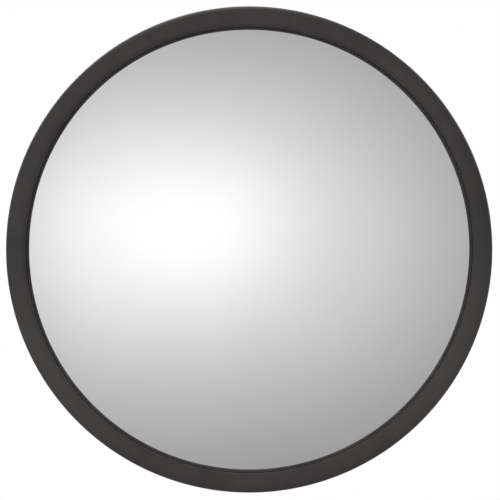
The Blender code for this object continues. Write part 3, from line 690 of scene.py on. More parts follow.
def soft_vinyl(settings):
    """Extruded black vinyl: die lines along the rim, grain, marks, dust, the smear of its joint, and a
    painted highlight low on both sides and, with the dust, on top.
    """
    finish = Finish("black soft vinyl", settings.vinyl, 0.55)
    finish.set("Specular IOR Level", 0.5)
    around = finish.ring_coordinates()
    lines = finish.noise(0.9 * MM, 3.0, vector=around)
    broad = finish.noise(45 * MM, 3.0)
    grain = finish.noise(0.5 * MM, 2.0)
    marks = finish.ranged(finish.noise(9 * MM, 4.0), 0.52, 0.72)
    tone = finish.blend(finish.ranged(broad, 0.3, 0.7), finish.shade(0.86), finish.shade(1.12))
    scuffed = finish.blend(finish.math("MULTIPLY", marks, 0.12), tone, (0.060, 0.056, 0.053))
    # Painted highlight: the rim's colour is made lighter low on both sides, where light falls on it
    painted_highlight = finish.math("ADD", *[finish.near(place, 30 * MM, 120 * MM) for place in PAINTED_HIGHLIGHT_PLACES])
    rubbed_wear_and_painted_highlight = finish.blend(finish.math("MULTIPLY", painted_highlight, 0.75), scuffed, finish.shade(1.7))
    # Dust and painted highlight together: the colour is lighter where the rim faces up, where light from
    # above falls
    upward = finish.ranged(finish.facing_up(), 0.25, 0.95)
    dust_and_painted_highlight_on_top = finish.math("MULTIPLY", upward, finish.ranged(broad, 0.25, 0.6, 0.5, 1.0))
    with_dust_and_painted_top_highlight = finish.blend(finish.math("MULTIPLY", dust_and_painted_highlight_on_top, 0.5), rubbed_wear_and_painted_highlight, (0.095, 0.090, 0.085))
    joint = (math.cos(settings.butt_angle), 0.0, -math.sin(settings.butt_angle))
    off = finish.measure("DOT_PRODUCT", joint)
    height = finish.node("ShaderNodeSeparateXYZ", {0: finish.coordinates}).outputs[2]
    smear = finish.ranged(finish.math("ABSOLUTE", off), 0.6 * MM, 2.6 * MM, 0.5, 0.0)
    upper = finish.math("MULTIPLY", smear, finish.ranged(height, 0.0, 1 * MM))
    joined = finish.blend(upper, with_dust_and_painted_top_highlight, finish.shade(1.7))
    flecks = finish.ranged(finish.cells(3.1 * MM), 0.04, 0.09, 0.25, 0.0)
    finish.feed("Base Color", finish.blend(flecks, joined, (0.13, 0.125, 0.118)))
    finish.feed("Roughness", finish.ranged(finish.noise(20 * MM, 4.0), 0.3, 0.7, 0.50, 0.62))
    die_lines = finish.relief(lines, 0.035 * MM)
    finish.feed("Normal", finish.relief(grain, 0.03 * MM, die_lines))
    return finish.material


def hardboard(settings):
    """Brown pressed fibre with dark and pale flecks and the faint print of its screen."""
    finish = Finish("brown hardboard", settings.board, 0.78)
    fibres = finish.noise(1.6 * MM, 4.0, (1.0, 1.0, 0.4), (0.0, math.radians(20.0), 0.0))
    threads = finish.noise(1.3 * MM, 3.0, (0.35, 1.0, 1.0), (0.0, math.radians(-35.0), 0.0))
    broad = finish.noise(60 * MM, 5.0)
    tone = finish.blend(finish.ranged(broad, 0.3, 0.7), finish.shade(0.86), finish.shade(1.16))
    flecked = finish.blend(finish.ranged(fibres, 0.52, 0.70, 0.0, 0.45), tone, finish.shade(0.5))
    pale = finish.ranged(threads, 0.60, 0.74, 0.0, 0.35)
    finish.feed("Base Color", finish.blend(pale, flecked, (0.38, 0.25, 0.14)))
    finish.feed("Roughness", finish.ranged(fibres, 0.3, 0.7, 0.68, 0.86))
    parts = finish.node("ShaderNodeSeparateXYZ", {0: finish.coordinates}).outputs
    pitch = 2 * math.pi / (2.4 * MM)
    rows = [finish.math("SINE", finish.math("MULTIPLY", parts[axis], pitch)) for axis in (0, 2)]
    screen = finish.relief(finish.math("MAXIMUM", *rows), 0.05 * MM)
    finish.feed("Normal", finish.relief(fibres, 0.12 * MM, screen))
    return finish.material


def zinc_plate(settings):
    """Bright zinc with a faint blue and straw cast, tumbling marks and duller patches."""
    finish = Finish("zinc-plated steel", settings.zinc, 0.33, 1.0)
    cloud = finish.noise(8 * MM, 4.0)
    cast = finish.blend(finish.ranged(cloud, 0.35, 0.65), (0.55, 0.58, 0.62), (0.66, 0.64, 0.58))
    stain = finish.ranged(finish.noise(3 * MM, 5.0), 0.58, 0.74, 0.0, 0.7)
    finish.feed("Base Color", finish.blend(stain, cast, finish.shade(0.62)))
    finish.feed("Roughness", finish.ranged(finish.noise(2 * MM, 5.0), 0.3, 0.7, 0.24, 0.46))
    marks = finish.relief(finish.noise(0.35 * MM, 3.0), 0.012 * MM)
    finish.feed("Normal", finish.relief(finish.noise(4 * MM, 2.0), 0.03 * MM, marks))
    return finish.material


def powder_coat(settings):
    """Black powder coat: orange peel, nibs, rubbed patches, fine scores and a film of dust."""
    finish = Finish("black powder coat", settings.coat, 0.42)
    broad = finish.noise(30 * MM, 3.0)
    tone = finish.blend(finish.ranged(broad, 0.3, 0.7), finish.shade(0.75), finish.shade(1.3))
    rubbed_wear_and_painted_highlight = finish.ranged(finish.noise(11 * MM, 5.0), 0.54, 0.70, 0.0, 0.8)
    worn = finish.blend(rubbed_wear_and_painted_highlight, tone, finish.shade(2.2))
    scores = finish.noise(1.1 * MM, 1.0, (1.0, 0.04, 1.0), (0.0, 0.0, math.radians(25.0)))
    scored = finish.blend(finish.ranged(scores, 0.70, 0.76, 0.0, 0.6), worn, (0.16, 0.16, 0.165))
    nibs = finish.ranged(finish.cells(1.7 * MM), 0.05, 0.12, 0.3, 0.0)
    nibbed = finish.blend(nibs, scored, (0.12, 0.12, 0.12))
    patchy = finish.ranged(broad, 0.3, 0.6, 0.5, 1.0)
    lying = finish.math("MULTIPLY", finish.ranged(finish.facing_up(), 0.3, 0.95, 0.0, 0.45), patchy)
    finish.feed("Base Color", finish.blend(lying, nibbed, (0.085, 0.080, 0.075)))
    finish.feed("Roughness", finish.ranged(finish.noise(10 * MM, 4.0), 0.3, 0.7, 0.34, 0.54))
    peel = finish.relief(finish.noise(2.2 * MM, 2.0), 0.11 * MM)
    finish.feed("Normal", finish.relief(finish.noise(0.4 * MM, 2.0), 0.012 * MM, peel))
    return finish.material


def natural_nylon(settings):
    """Off-white nylon, slightly see-through, with moulding swirls."""
    finish = Finish("natural nylon", settings.nylon, 0.42)
    finish.set("Subsurface Weight", 0.2)
    finish.set("Subsurface Scale", 2 * MM)
    swirl = finish.ranged(finish.noise(5 * MM, 3.0), 0.3, 0.7)
    finish.feed("Base Color", finish.blend(swirl, finish.shade(0.93), finish.shade(1.04)))
    finish.feed("Roughness", finish.ranged(finish.noise(3 * MM, 3.0), 0.3, 0.7, 0.36, 0.5))
    finish.feed("Normal", finish.relief(finish.noise(0.5 * MM, 2.0), 0.01 * MM))
    return finish.material


def plug_plastic(settings):
    """Grey moulded plastic with flow marks and a matt grain."""
    finish = Finish("grey plug plastic", settings.grey, 0.52)
    flow = finish.ranged(finish.noise(6 * MM, 3.0, (1.0, 0.25, 1.0)), 0.3, 0.7)
    finish.feed("Base Color", finish.blend(flow, finish.shade(0.86), finish.shade(1.12)))
    finish.feed("Roughness", finish.ranged(finish.noise(4 * MM, 4.0), 0.3, 0.7, 0.46, 0.6))
    finish.feed("Normal", finish.relief(finish.noise(0.4 * MM, 2.0), 0.02 * MM))
    return finish.material


# Each slot's finish: what makes it, and the settings that hold its colour
FINISH_MAKERS = {
    "mirror": (silvered_acrylic, "face"),
    "trim": (soft_vinyl, "trim"),
    "board": (hardboard, "wall"),
    "zinc": (zinc_plate, "hub"),
    "coat": (powder_coat, "arm"),
    "nylon": (natural_nylon, "joint"),
    "plug": (plug_plastic, "wall"),
}
made_finishes = {}


def finish_of(slot, settings):
    """A slot's finish, made the first time that it is asked for."""
    if slot not in made_finishes:
        maker, group = FINISH_MAKERS[slot]
        made_finishes[slot] = maker(getattr(settings, group))
    return made_finishes[slot]


# Mirror head

def flange_front(settings):
    return LENS_BACK + settings.face.wall


def dome_sphere(settings):
    """(radius of the dome's foot, radius of its sphere)."""
    rise = DOME_APEX - flange_front(settings)
    foot = LENS_RADIUS - settings.face.flange
    return foot, (foot**2 + rise**2) / (2 * rise)


def build_face(settings):
    foot, sphere = dome_sphere(settings)
    front = flange_front(settings)
    let_go()
    bpy.ops.mesh.primitive_uv_sphere_add(
        segments=WIDE_STEPS, ring_count=240, radius=sphere, location=(0.0, sphere - DOME_APEX, 0.0),
        rotation=(math.radians(90.0), 0.0, 0.0),
    )
    obj = bpy.context.object
    obj.name = "silvered_face"
    bpy.ops.object.transform_apply(location=True, rotation=True, scale=True)
    open_mesh(obj)
    bpy.ops.mesh.bisect(plane_co=(0.0, -front, 0.0), plane_no=BACK, clear_outer=True)
    bpy.ops.mesh.extrude_region_move()
    stretch = LENS_RADIUS / foot
    bpy.ops.transform.resize(value=(stretch, 1.0, stretch), center_override=(0.0, -front, 0.0))
    bpy.ops.mesh.select_all(action="SELECT")
    bpy.ops.mesh.normals_make_consistent(inside=False)
    close_mesh()
    if sum(face.normal.y for face in obj.data.polygons) > 0.0:
        open_mesh(obj)
        bpy.ops.mesh.flip_normals()
        close_mesh()
    add_modifier(obj, "SOLIDIFY", thickness=settings.face.wall, offset=-1.0)
    finish_piece(obj, settings, "mirror_head", "mirror", "mirror_lens", crease=25.0)


def full_quarter(centre, reach, fullness, pieces):
    """Points from the top of a superellipse down to its side, either outwards or inwards."""
    points = []
    for k in range(pieces + 1):
        angle = math.pi / 2 * (1 - k / pieces)
        run = max(math.cos(angle), 0.0) ** (2 / fullness)
        rise = math.sin(angle) ** (2 / fullness)
        points.append((centre[0] + (reach[0] - centre[0]) * run, centre[1] + (reach[1] - centre[1]) * rise))
    return points


def trim_outline(settings):
    """The channel's section as (radius, reach)."""
    trim = settings.trim
    foot, sphere = dome_sphere(settings)
    front = flange_front(settings)
    lip = foot - trim.lip_lap
    lip_under = math.sqrt(sphere**2 - lip**2) - (sphere - (DOME_APEX - front)) + GAP
    lip_top = lip_under + trim.lip_wall
    crown = TRIM_FRONT - front
    crown_radius = TRIM_RADIUS - trim.crown_half
    back = TRIM_BACK - front
    slot = LENS_RADIUS + GAP
    inner = LENS_RADIUS - trim.back_lap
    points = full_quarter((crown_radius, trim.crown_foot), (TRIM_RADIUS, crown), trim.fullness, 24)
    corners = [
        (TRIM_RADIUS, back, 3.0 * MM),
        (inner, back, 0.9 * MM),
        (inner, back + trim.back_wall, 0.5 * MM),
        (slot, back + trim.back_wall, 0.0),
        (slot, GAP, 0.0),
        (foot, GAP, 0.4 * MM),
        (lip, lip_under, 0.1 * MM),
        (lip, lip_top, 0.0),
    ]
    ends = [(TRIM_RADIUS, trim.crown_foot, 0.0), *corners]
    points += [tuple(point) for point in softened(ends, closed=False, pieces=5)][1:-1]
    points += reversed(full_quarter((crown_radius, lip_top), (lip, crown), trim.fullness, 20)[1:])
    return [Vector((radius, front + height)) for radius, height in points]


def unsettle_lip(obj, settings):
    """Lets the lip wander a little in and out along the dome, as a soft channel's does."""
    trim = settings.trim
    foot, sphere = dome_sphere(settings)
    front = flange_front(settings)
    lip = foot - trim.lip_lap
    crown = TRIM_RADIUS - trim.crown_half
    slope = lip / math.sqrt(sphere**2 - lip**2)
    open_mesh(obj)
    work = bmesh.from_edit_mesh(obj.data)
    for vertex in work.verts:
        x, y, z = vertex.co
        radius = math.hypot(x, z)
        if radius >= crown or -y <= front:
            continue
        angle = math.atan2(x, z)
        wander = sum(size * math.cos(count * (angle - place)) for count, size, place in LIP_WAVES)
        wander *= trim.lip_wander * min(1.0, (crown - radius) / (crown - lip)) ** 2
        vertex.co += Vector((wander * x / radius, wander * slope, wander * z / radius))
    bmesh.update_edit_mesh(obj.data)
    close_mesh()


def lean_ends(obj, line, lean):
    """Leans the two cut ends together, so that the joint doesn't run straight through."""
    side = line.along.cross(line.across)
    open_mesh(obj)
    work = bmesh.from_edit_mesh(obj.data)
    for vertex in work.verts:
        if vertex.co.dot(line.across) > 0.0 and abs(vertex.co.dot(side)) < 0.5 * MM:
            vertex.co += side * lean * (-vertex.co.y - TRIM_BACK)
    bmesh.update_edit_mesh(obj.data)
    close_mesh()


def build_trim(settings):
    trim = settings.trim
    angle = trim.butt_angle
    line = Line(across=(math.sin(angle), 0.0, math.cos(angle)))
    opening = trim.butt_gap / LENS_RADIUS
    obj = lathe("edge_trim", trim_outline(settings), line, WIDE_STEPS, closed=True, opening=opening)
    unsettle_lip(obj, settings)
    lean_ends(obj, line, trim.butt_skew / (TRIM_FRONT - TRIM_BACK))
    finish_piece(obj, settings, "mirror_head", "trim", "rim_trim", crease=40.0)


def build_board(settings):
    refinish_node("back_board", finish_of("board", settings))


def build_hub(settings):
    hub = settings.hub
    bore = settings.joint.neck + BOLT_CLEARANCE
    wall = hub.wall
    corners = [
        (bore, HUB_BACK, 0.3 * MM),
        (hub.top, HUB_BACK, 3.5 * MM),
        (hub.foot, HUB_FRONT - wall, 2.0 * MM),
        (HUB_RADIUS, HUB_FRONT - wall, 0.6 * MM),
        (HUB_RADIUS, HUB_FRONT, 0.3 * MM),
        (hub.foot - wall * 0.7, HUB_FRONT, 3.5 * MM),
        (hub.top - wall * 0.7, HUB_BACK + wall, 2.0 * MM),
        (bore, HUB_BACK + wall, 0.2 * MM),
    ]
    obj = lathe("hub_pressing", softened(corners, pieces=6), Line(), 96, closed=True)
    for name in numbered("hub_bolt"):
        place = middle_of(name)
        line = Line((place.x, 0.0, place.z))
        cut(obj, rod("drill", hub.bolt + BOLT_CLEARANCE, line, HUB_FRONT - 3 * wall, HUB_FRONT + wall))
    finish_piece(obj, settings, "mirror_head", "zinc", "hub_plate", crease=50.0)


def build_hub_bolts(settings):
    hub = settings.hub
    names = numbered("hub_bolt")
    first = middle_of(names[0])
    back, end = reach_of(names[0])
    seat = back + hub.bolt_head
    head = radius_of(names[0])
    dome_foot = head * 0.97
    line = Line((first.x, 0.0, first.z))
    dome = [Vector((0.0, back))]
    for k in range(1, 9):
        angle = math.radians(90.0 * k / 9)
        dome.append(Vector((dome_foot * math.sin(angle), seat - hub.bolt_head * math.cos(angle))))
    edge = softened(
        [(dome_foot, seat - 0.45 * MM, 0.0), (head, seat - 0.25 * MM, 0.1 * MM), (head, seat, 0.15 * MM),
         (hub.bolt, seat, 0.2 * MM), (hub.bolt, end, 0.5 * MM), (0.0, end, 0.0)],
        closed=False,
    )
    bolt = lathe("hub_button_bolt_1", dome + edge, line, SMALL_STEPS)
    key = slab(
        "key", arc((0.0, 0.0), hub.socket_flats / math.sqrt(3), 0.0, 300.0, 5),
        across_plane(line, back - MM), FORWARD, hub.socket_depth + MM,
    )
    cut(bolt, key)
    for obj, name in zip(one_at_each(bolt, "hub_button_bolt", names), names):
        finish_piece(obj, settings, "mirror_head", "zinc", name, crease=40.0)


def build_hidden_fasteners(settings):
    for name in ("backing_plate", "stud_washer", "stud_nut", *numbered("hub_nut")):
        refinish_node(name, finish_of("zinc", settings))


# Ball joint

def build_ball_stud(settings):
    joint = settings.joint
    end = reach_of("ball_stud")[1]
    hex_front = HUB_BACK - GAP
    hex_back = hex_front - joint.flange
    neck_angle = math.degrees(math.asin(joint.neck / BALL_RADIUS))
    line = Line()
    outline = ball_arc(BALL_RADIUS, 180.0, neck_angle + 6.0, 40, BALL_REACH)
    root = BALL_REACH + BALL_RADIUS * math.cos(math.radians(neck_angle))
    outline += softened(
        [(joint.neck * 1.16, root - 0.2 * MM, 0.0), (joint.neck, root + 0.7 * MM, 1.2 * MM),
         (joint.neck, hex_back - 0.9 * MM, 0.7 * MM), (joint.neck + 1.2 * MM, hex_back + 0.2 * MM, 0.0),
         (joint.neck + 1.2 * MM, hex_front - MM, 0.0), (joint.neck, hex_front - MM, 0.0),
         (joint.neck, end, 0.6 * MM), (0.0, end, 0.0)],
        closed=False,
    )
    obj = lathe("ball_joint_stud", outline, line, ROUND_STEPS)
    nut = hexagon("stud_hexagon", joint.flats, line, hex_front, hex_back)
    fuse(obj, nut)
    finish_piece(obj, settings, "ball_stud", "zinc", "ball_stud", crease=30.0)


def build_ball_liner(settings):
    joint = settings.joint
    inner = BALL_RADIUS + GAP
    reach = math.degrees(joint.liner_half)
    outer = ball_arc(inner + joint.liner_wall, 90.0 - reach, 90.0 + reach, 16, BALL_REACH)
    hollow = ball_arc(inner, 90.0 + reach, 90.0 - reach, 16, BALL_REACH)
    line = Line(across=UP)
    obj = lathe("nylon_liner", outer + hollow, line, ROUND_STEPS, closed=True, opening=joint.liner_slit)
    soften_edges(obj, 0.2 * MM, 60.0, 2)
    finish_piece(obj, settings, "ball_liner", "nylon", "ball_liner")


def build_collar(settings):
    joint = settings.joint
    seat = BALL_RADIUS + GAP + joint.liner_wall + GAP
    radius = radius_of("lock_collar")
    back, front = reach_of("lock_collar")
    bore = radius_of("socket_cup") + GAP
    edge = ball_arc(seat, 62.0, 62.0, 1, BALL_REACH)[0]
    step = BALL_REACH + seat * math.cos(math.radians(88.0))
    grip_back, grip_front = back + 2.4 * MM, front - 2.4 * MM
    corners = [
        (edge.x, edge.y, 0.2 * MM),
        (edge.x + 2.6 * MM, front, 0.5 * MM),
        (radius, front, 1.3 * MM),
        (radius, grip_front, 0.0),
        (radius, grip_back, 0.0),
        (radius, back, 1.3 * MM),
        (bore, back, 0.6 * MM),
        (bore, step, 0.0),
    ]
    outline = softened(corners, pieces=5) + ball_arc(seat, 88.0, 64.0, 8, BALL_REACH)
    per_flute = 4
    steps = joint.flutes * per_flute
    obj = lathe("grip_collar", outline, Line(), steps, closed=True)
    open_mesh(obj)
    bpy.ops.mesh.select_all(action="DESELECT")
    work = bmesh.from_edit_mesh(obj.data)
    for face in work.faces:
        middle = face.calc_center_median()
        on_grip = grip_back < -middle.y < grip_front and math.hypot(middle.x, middle.z) > radius - 0.1 * MM
        turn = math.atan2(middle.z, middle.x) / (2 * math.pi) % 1.0
        if on_grip and int(turn * steps) % per_flute in (0, 1):
            face.select_set(True)
    work.select_flush_mode()
    bmesh.update_edit_mesh(obj.data)
    bpy.ops.mesh.inset(thickness=0.25 * MM, depth=0.0, use_individual=False)
    bpy.ops.transform.shrink_fatten(value=-joint.flute_depth)
    close_mesh()
    soften_edges(obj, 0.15 * MM, 25.0, 2)
    finish_piece(obj, settings, "lock_collar", "coat", "lock_collar", crease=30.0)


def build_socket_cup(settings):
    joint = settings.joint
    arm = settings.arm
    seat = BALL_RADIUS + GAP + joint.liner_wall + GAP
    radius = radius_of("socket_cup")
    back, rim = reach_of("socket_cup")
    shoulder = TUBE_END + GAP
    floor_back = BALL_REACH - seat * math.cos(math.radians(30.0)) - 3.0 * MM
    spigot = TUBE_RADIUS - arm.wall - GAP
    rim_angle = math.degrees(math.acos(-(BALL_REACH - rim) / seat))
    thread_end = floor_back + 1.6 * MM
    outline = [Vector((0.0, BALL_REACH - seat * math.cos(math.radians(30.0))))]
    outline += ball_arc(seat, 150.0, rim_angle, 14, BALL_REACH)
    outline += [Vector((radius - 0.4 * MM, rim)), Vector((radius, rim - 0.4 * MM))]
    outline += thread_rows(radius, rim - 0.7 * MM, thread_end, joint.thread_pitch / 10)
    outline += softened(
        [(radius, thread_end - 0.2 * MM, 0.0), (radius, floor_back, 0.8 * MM),
         (TUBE_RADIUS + 1.2 * MM, shoulder + 3.5 * MM, 5.0 * MM), (TUBE_RADIUS, shoulder, 0.3 * MM),
         (spigot, shoulder, 0.2 * MM), (spigot, back, 0.8 * MM), (0.0, back, 0.0)],
        closed=False, pieces=5,
    )
    obj = lathe("ball_socket", outline, Line(), ROUND_STEPS)
    press_thread(obj, Line(), rim - 0.5 * MM, thread_end, radius, joint.thread_pitch, 0.75 * MM)
    cut(obj, rod("drill", arm.pin + BOLT_CLEARANCE, cross_line("tube_pin_front"), -2 * radius, 2 * radius))
    finish_piece(obj, settings, "arm", "coat", "socket_cup", crease=30.0)


# Arm

def cross_line(node):
    """The line of a cross pin."""
    return Line((0.0, middle_of(node).y, 0.0), RIGHT, UP)


def build_arm_tube(settings):
    arm = settings.arm
    rounds = (0.3 * MM, 0.4 * MM, 0.4 * MM, 0.3 * MM)
    outline = ring_section(TUBE_RADIUS - arm.wall, TUBE_RADIUS, TUBE_START, TUBE_END, rounds)
    obj = lathe("carrying_tube", outline, Line(), ROUND_STEPS, closed=True)
    for node in ("tube_pin_rear", "tube_pin_front"):
        reach = 2 * TUBE_RADIUS
        cut(obj, rod("drill", arm.pin + BOLT_CLEARANCE, cross_line(node), -reach, reach))
    finish_piece(obj, settings, "arm", "coat", "arm_tube", crease=40.0)


PIN_SLOT = math.radians(24.0)


def build_cross_pins(settings):
    radius = settings.arm.pin
    bore = radius * 0.5
    for node, name in (("tube_pin_rear", "roll_pin_rear"), ("tube_pin_front", "roll_pin_front")):
        low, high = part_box(node)
        rounds = (0.1 * MM, 0.45 * MM, 0.45 * MM, 0.1 * MM)
        outline = ring_section(bore, radius, low.x, high.x, rounds)
        obj = lathe(name, outline, cross_line(node), SMALL_STEPS, closed=True, opening=PIN_SLOT)
        finish_piece(obj, settings, "arm", "zinc", node, crease=40.0)


def build_arm_eye(settings):
    arm = settings.arm
    back, front = reach_of("arm_tongue")
    radius = PIVOT_REACH - back
    neck_end = TUBE_START - GAP
    neck_start = neck_end - arm.shoulder
    spigot = TUBE_RADIUS - arm.wall - GAP
    half = min(radius, TUBE_RADIUS) - GAP
    side = Line((-arm.tongue / 2, 0.0, 0.0), FORWARD, UP)
    outline = arc((0.0, PIVOT_REACH), radius, 180.0, 360.0, 36)
    outline += [Vector((radius, neck_start - 2 * MM)), Vector((half, neck_start + 2 * MM))]
    outline += [Vector((-half, neck_start + 2 * MM)), Vector((-radius, neck_start - 2 * MM))]
    eye = slab("pivot_eye", outline, side, RIGHT, arm.tongue)
    neck = softened(
        [(0.0, neck_start, 0.0), (TUBE_RADIUS, neck_start, 1.4 * MM), (TUBE_RADIUS, neck_end, 0.3 * MM),
         (spigot, neck_end, 0.2 * MM), (spigot, front, 0.8 * MM), (0.0, front, 0.0)],
        closed=False, pieces=5,
    )
    soften_edges(eye, 0.7 * MM, 60.0, 3)
    obj = lathe("arm_eye", neck, Line(), ROUND_STEPS)
    fuse(obj, eye)
    pivot_line = Line(PIVOT, RIGHT, UP)
    cut(obj, rod("drill", settings.hinge.bolt + BOLT_CLEARANCE, pivot_line, -2 * radius, 2 * radius))
    cut(obj, rod("drill", arm.pin + BOLT_CLEARANCE, cross_line("tube_pin_rear"), -2 * radius, 2 * radius))
    finish_piece(obj, settings, "arm", "coat", "arm_tongue", crease=30.0)


# Hinge

def ear_faces(settings):
    """Where one ear's inner and outer faces lie from the middle."""
    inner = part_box("friction_washer_right")[1].x + GAP
    return inner, inner + settings.hinge.ear_wall


def build_bracket(settings):
    hinge = settings.hinge
    foot_back = reach_of("hinge_clevis")[0]
    foot_front = foot_back + hinge.ear_wall
    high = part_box("hinge_clevis")[1]
    width, tall = high.x, high.z
    inner, outer = ear_faces(settings)
    outline = rounded_plate(width, tall, hinge.foot_corner, 8)
    flat = Line((0.0, -foot_back, 0.0), UP, RIGHT)
    obj = slab("hinge_bracket", outline, flat, FORWARD, hinge.ear_wall)
    soften_edges(obj, 0.5 * MM, 60.0, 3)
    half_foot = tall - hinge.ear_wall
    drop = PIVOT_REACH - foot_front + MM
    tangent = math.asin(hinge.ear_radius / math.hypot(half_foot, drop))
    lean = math.degrees(math.atan2(half_foot, drop) - tangent)
    outline = arc((0.0, PIVOT_REACH), hinge.ear_radius, -lean, 180.0 + lean, 48)
    outline += [Vector((-half_foot, foot_front - MM)), Vector((half_foot, foot_front - MM))]
    for place in (inner, -outer):
        ear = slab("ear", outline, Line((place, 0.0, 0.0), FORWARD, UP), RIGHT, hinge.ear_wall)
        soften_edges(ear, 0.5 * MM, 60.0, 3)
        fuse(obj, ear)
    for place in (outer - 0.2 * MM, 0.2 * MM - outer):
        fuse(obj, weld_bead(place, foot_front - 0.2 * MM, half_foot - 1.5 * MM, hinge.bead))
    cut(obj, rod("drill", hinge.bolt + BOLT_CLEARANCE, Line(PIVOT, RIGHT, UP), -width, width))
    finish_piece(obj, settings, "wall_bracket", "coat", "hinge_clevis", crease=30.0)


def weld_bead(place, reach, half, radius):
    """A rippled bead of weld that runs up an ear's root."""
    outline = [Vector((0.0, -half))]
    ripples = 13
    count = ripples * 6
    for k in range(count + 1):
        share = k / count
        ripple = abs(math.sin(math.pi * ripples * share))
        swell = math.sin(math.pi * min(1.0, 0.06 + min(share, 1.0 - share) * 8) / 2)
        thick = radius - 0.3 * MM + 0.3 * MM * ripple
        outline.append(Vector((thick * swell, half * (2 * share - 1) * 0.999)))
    outline.append(Vector((0.0, half)))
    return lathe("weld_bead", outline, Line((place, -reach, 0.0), UP, RIGHT), 24)


def build_friction_washers(settings):
    bore = settings.hinge.bolt + BOLT_CLEARANCE
    line = Line(PIVOT, RIGHT, UP)
    rounds = (0.1 * MM, 0.25 * MM, 0.25 * MM, 0.1 * MM)
    for side in ("left", "right"):
        node = f"friction_washer_{side}"
        low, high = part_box(node)
        outline = ring_section(bore, (high.z - low.z) / 2, low.x, high.x, rounds)
        obj = lathe(f"nylon_washer_{side}", outline, line, ROUND_STEPS, closed=True)
        finish_piece(obj, settings, "wall_bracket", "nylon", node, crease=40.0)


def build_pivot_bolt(settings):
    hinge = settings.hinge
    low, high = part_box("pivot_bolt")
    under_head = -(ear_faces(settings)[1] + GAP)
    line = Line(PIVOT, RIGHT, UP)
    thread_length, chamfer = 14 * MM, 0.6 * MM
    plain = high.x - thread_length
    outline = [Vector((0.0, under_head - 2 * MM)), Vector((hinge.bolt, under_head - 2 * MM))]
    outline += thread_rows(hinge.bolt, plain, high.x - chamfer, hinge.bolt_pitch / 8)
    outline += [Vector((hinge.bolt - chamfer, high.x)), Vector((0.0, high.x))]
    obj = lathe("hinge_bolt", outline, line, ROUND_STEPS)
    press_thread(obj, line, plain, high.x - 0.3 * MM, hinge.bolt, hinge.bolt_pitch, 0.7 * MM, fade=0.4)
    head = hexagon("hinge_bolt_head", hinge.bolt_flats, line, under_head, low.x)
    face_radius = hinge.bolt_flats / 2 - 0.2 * MM
    fuse(obj, head, rod("washer_face", face_radius, line, under_head - MM, under_head, ROUND_STEPS))
    finish_piece(obj, settings, "wall_bracket", "zinc", "pivot_bolt", crease=30.0)


def build_pivot_washer(settings):
    low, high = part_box("pivot_washer")
    bore = settings.hinge.bolt + BOLT_CLEARANCE
    rounds = (0.1 * MM, 0.1 * MM, 0.5 * MM, 0.2 * MM)
    outline = ring_section(bore, (high.z - low.z) / 2, low.x, high.x, rounds, 4)
    obj = lathe("plain_washer", outline, Line(PIVOT, RIGHT, UP), ROUND_STEPS, closed=True)
    finish_piece(obj, settings, "wall_bracket", "zinc", "pivot_washer")


def build_wing_nut(settings):
    hinge = settings.hinge
    low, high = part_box("wing_nut")
    foot = low.x
    hub_radius, hub_height = 6.5 * MM, 8.0 * MM
    lift = high.x - foot - hinge.wing_round
    spread = 11.0 * MM
    round_end = hinge.wing_round - 0.3 * MM
    line = Line(PIVOT + RIGHT * foot, RIGHT, -UP).turned(hinge.wing_turn)
    hub = softened(
        [(0.0, 0.2 * MM, 0.0), (hub_radius - 0.2 * MM, 0.2 * MM, 0.4 * MM),
         (hub_radius - MM, hub_height - 0.2 * MM, 0.8 * MM), (0.0, hub_height - 0.2 * MM, 0.0)],
        closed=False,
    )
    obj = lathe("wing_nut_forging", hub, line, ROUND_STEPS)
    root = hub_radius - 3 * MM
    outline = arc((spread, lift), round_end, -50.0, 150.0, 24)
    outline += [Vector((root, hub_height - 0.6 * MM)), Vector((root, 0.8 * MM))]
    for turn in (0.0, math.pi):
        side = line.turned(turn)
        thick = side.along.cross(side.across) * hinge.wing_wall
        place = Line(side.origin - thick / 2, side.along, side.across)
        fuse(obj, slab("wing", outline, place, thick.normalized(), hinge.wing_wall))
    add_modifier(obj, "REMESH", mode="VOXEL", voxel_size=0.32 * MM)
    add_modifier(obj, "SMOOTH", factor=0.5, iterations=7)
    bore = rod("tap", hinge.bolt + BOLT_CLEARANCE, line, -2 * MM, hub_height + 2 * MM)
    cut(obj, bore)
    finish_piece(obj, settings, "wing_nut", "zinc", "wing_nut", crease=60.0)


# Wall fixing

def build_wall_plate(settings):
    wall = settings.wall
    outline = rounded_plate(PLATE_HIGH.x, PLATE_HIGH.z, wall.corner, 12)
    flat = Line((0.0, 0.0, 0.0), UP, RIGHT)
    obj = slab("mounting_plate", outline, flat, FORWARD, PLATE_WALL)
    for name in numbered("wall_screw"):
        place = middle_of(name)
        line = Line((place.x, 0.0, place.z))
        cut(obj, rod("drill", wall.screw + BOLT_CLEARANCE, line, -PLATE_WALL, 2 * PLATE_WALL))
    soften_edges(obj, 0.6 * MM, 60.0, 4)
    finish_piece(obj, settings, "wall_bracket", "coat", "wall_plate", crease=35.0)


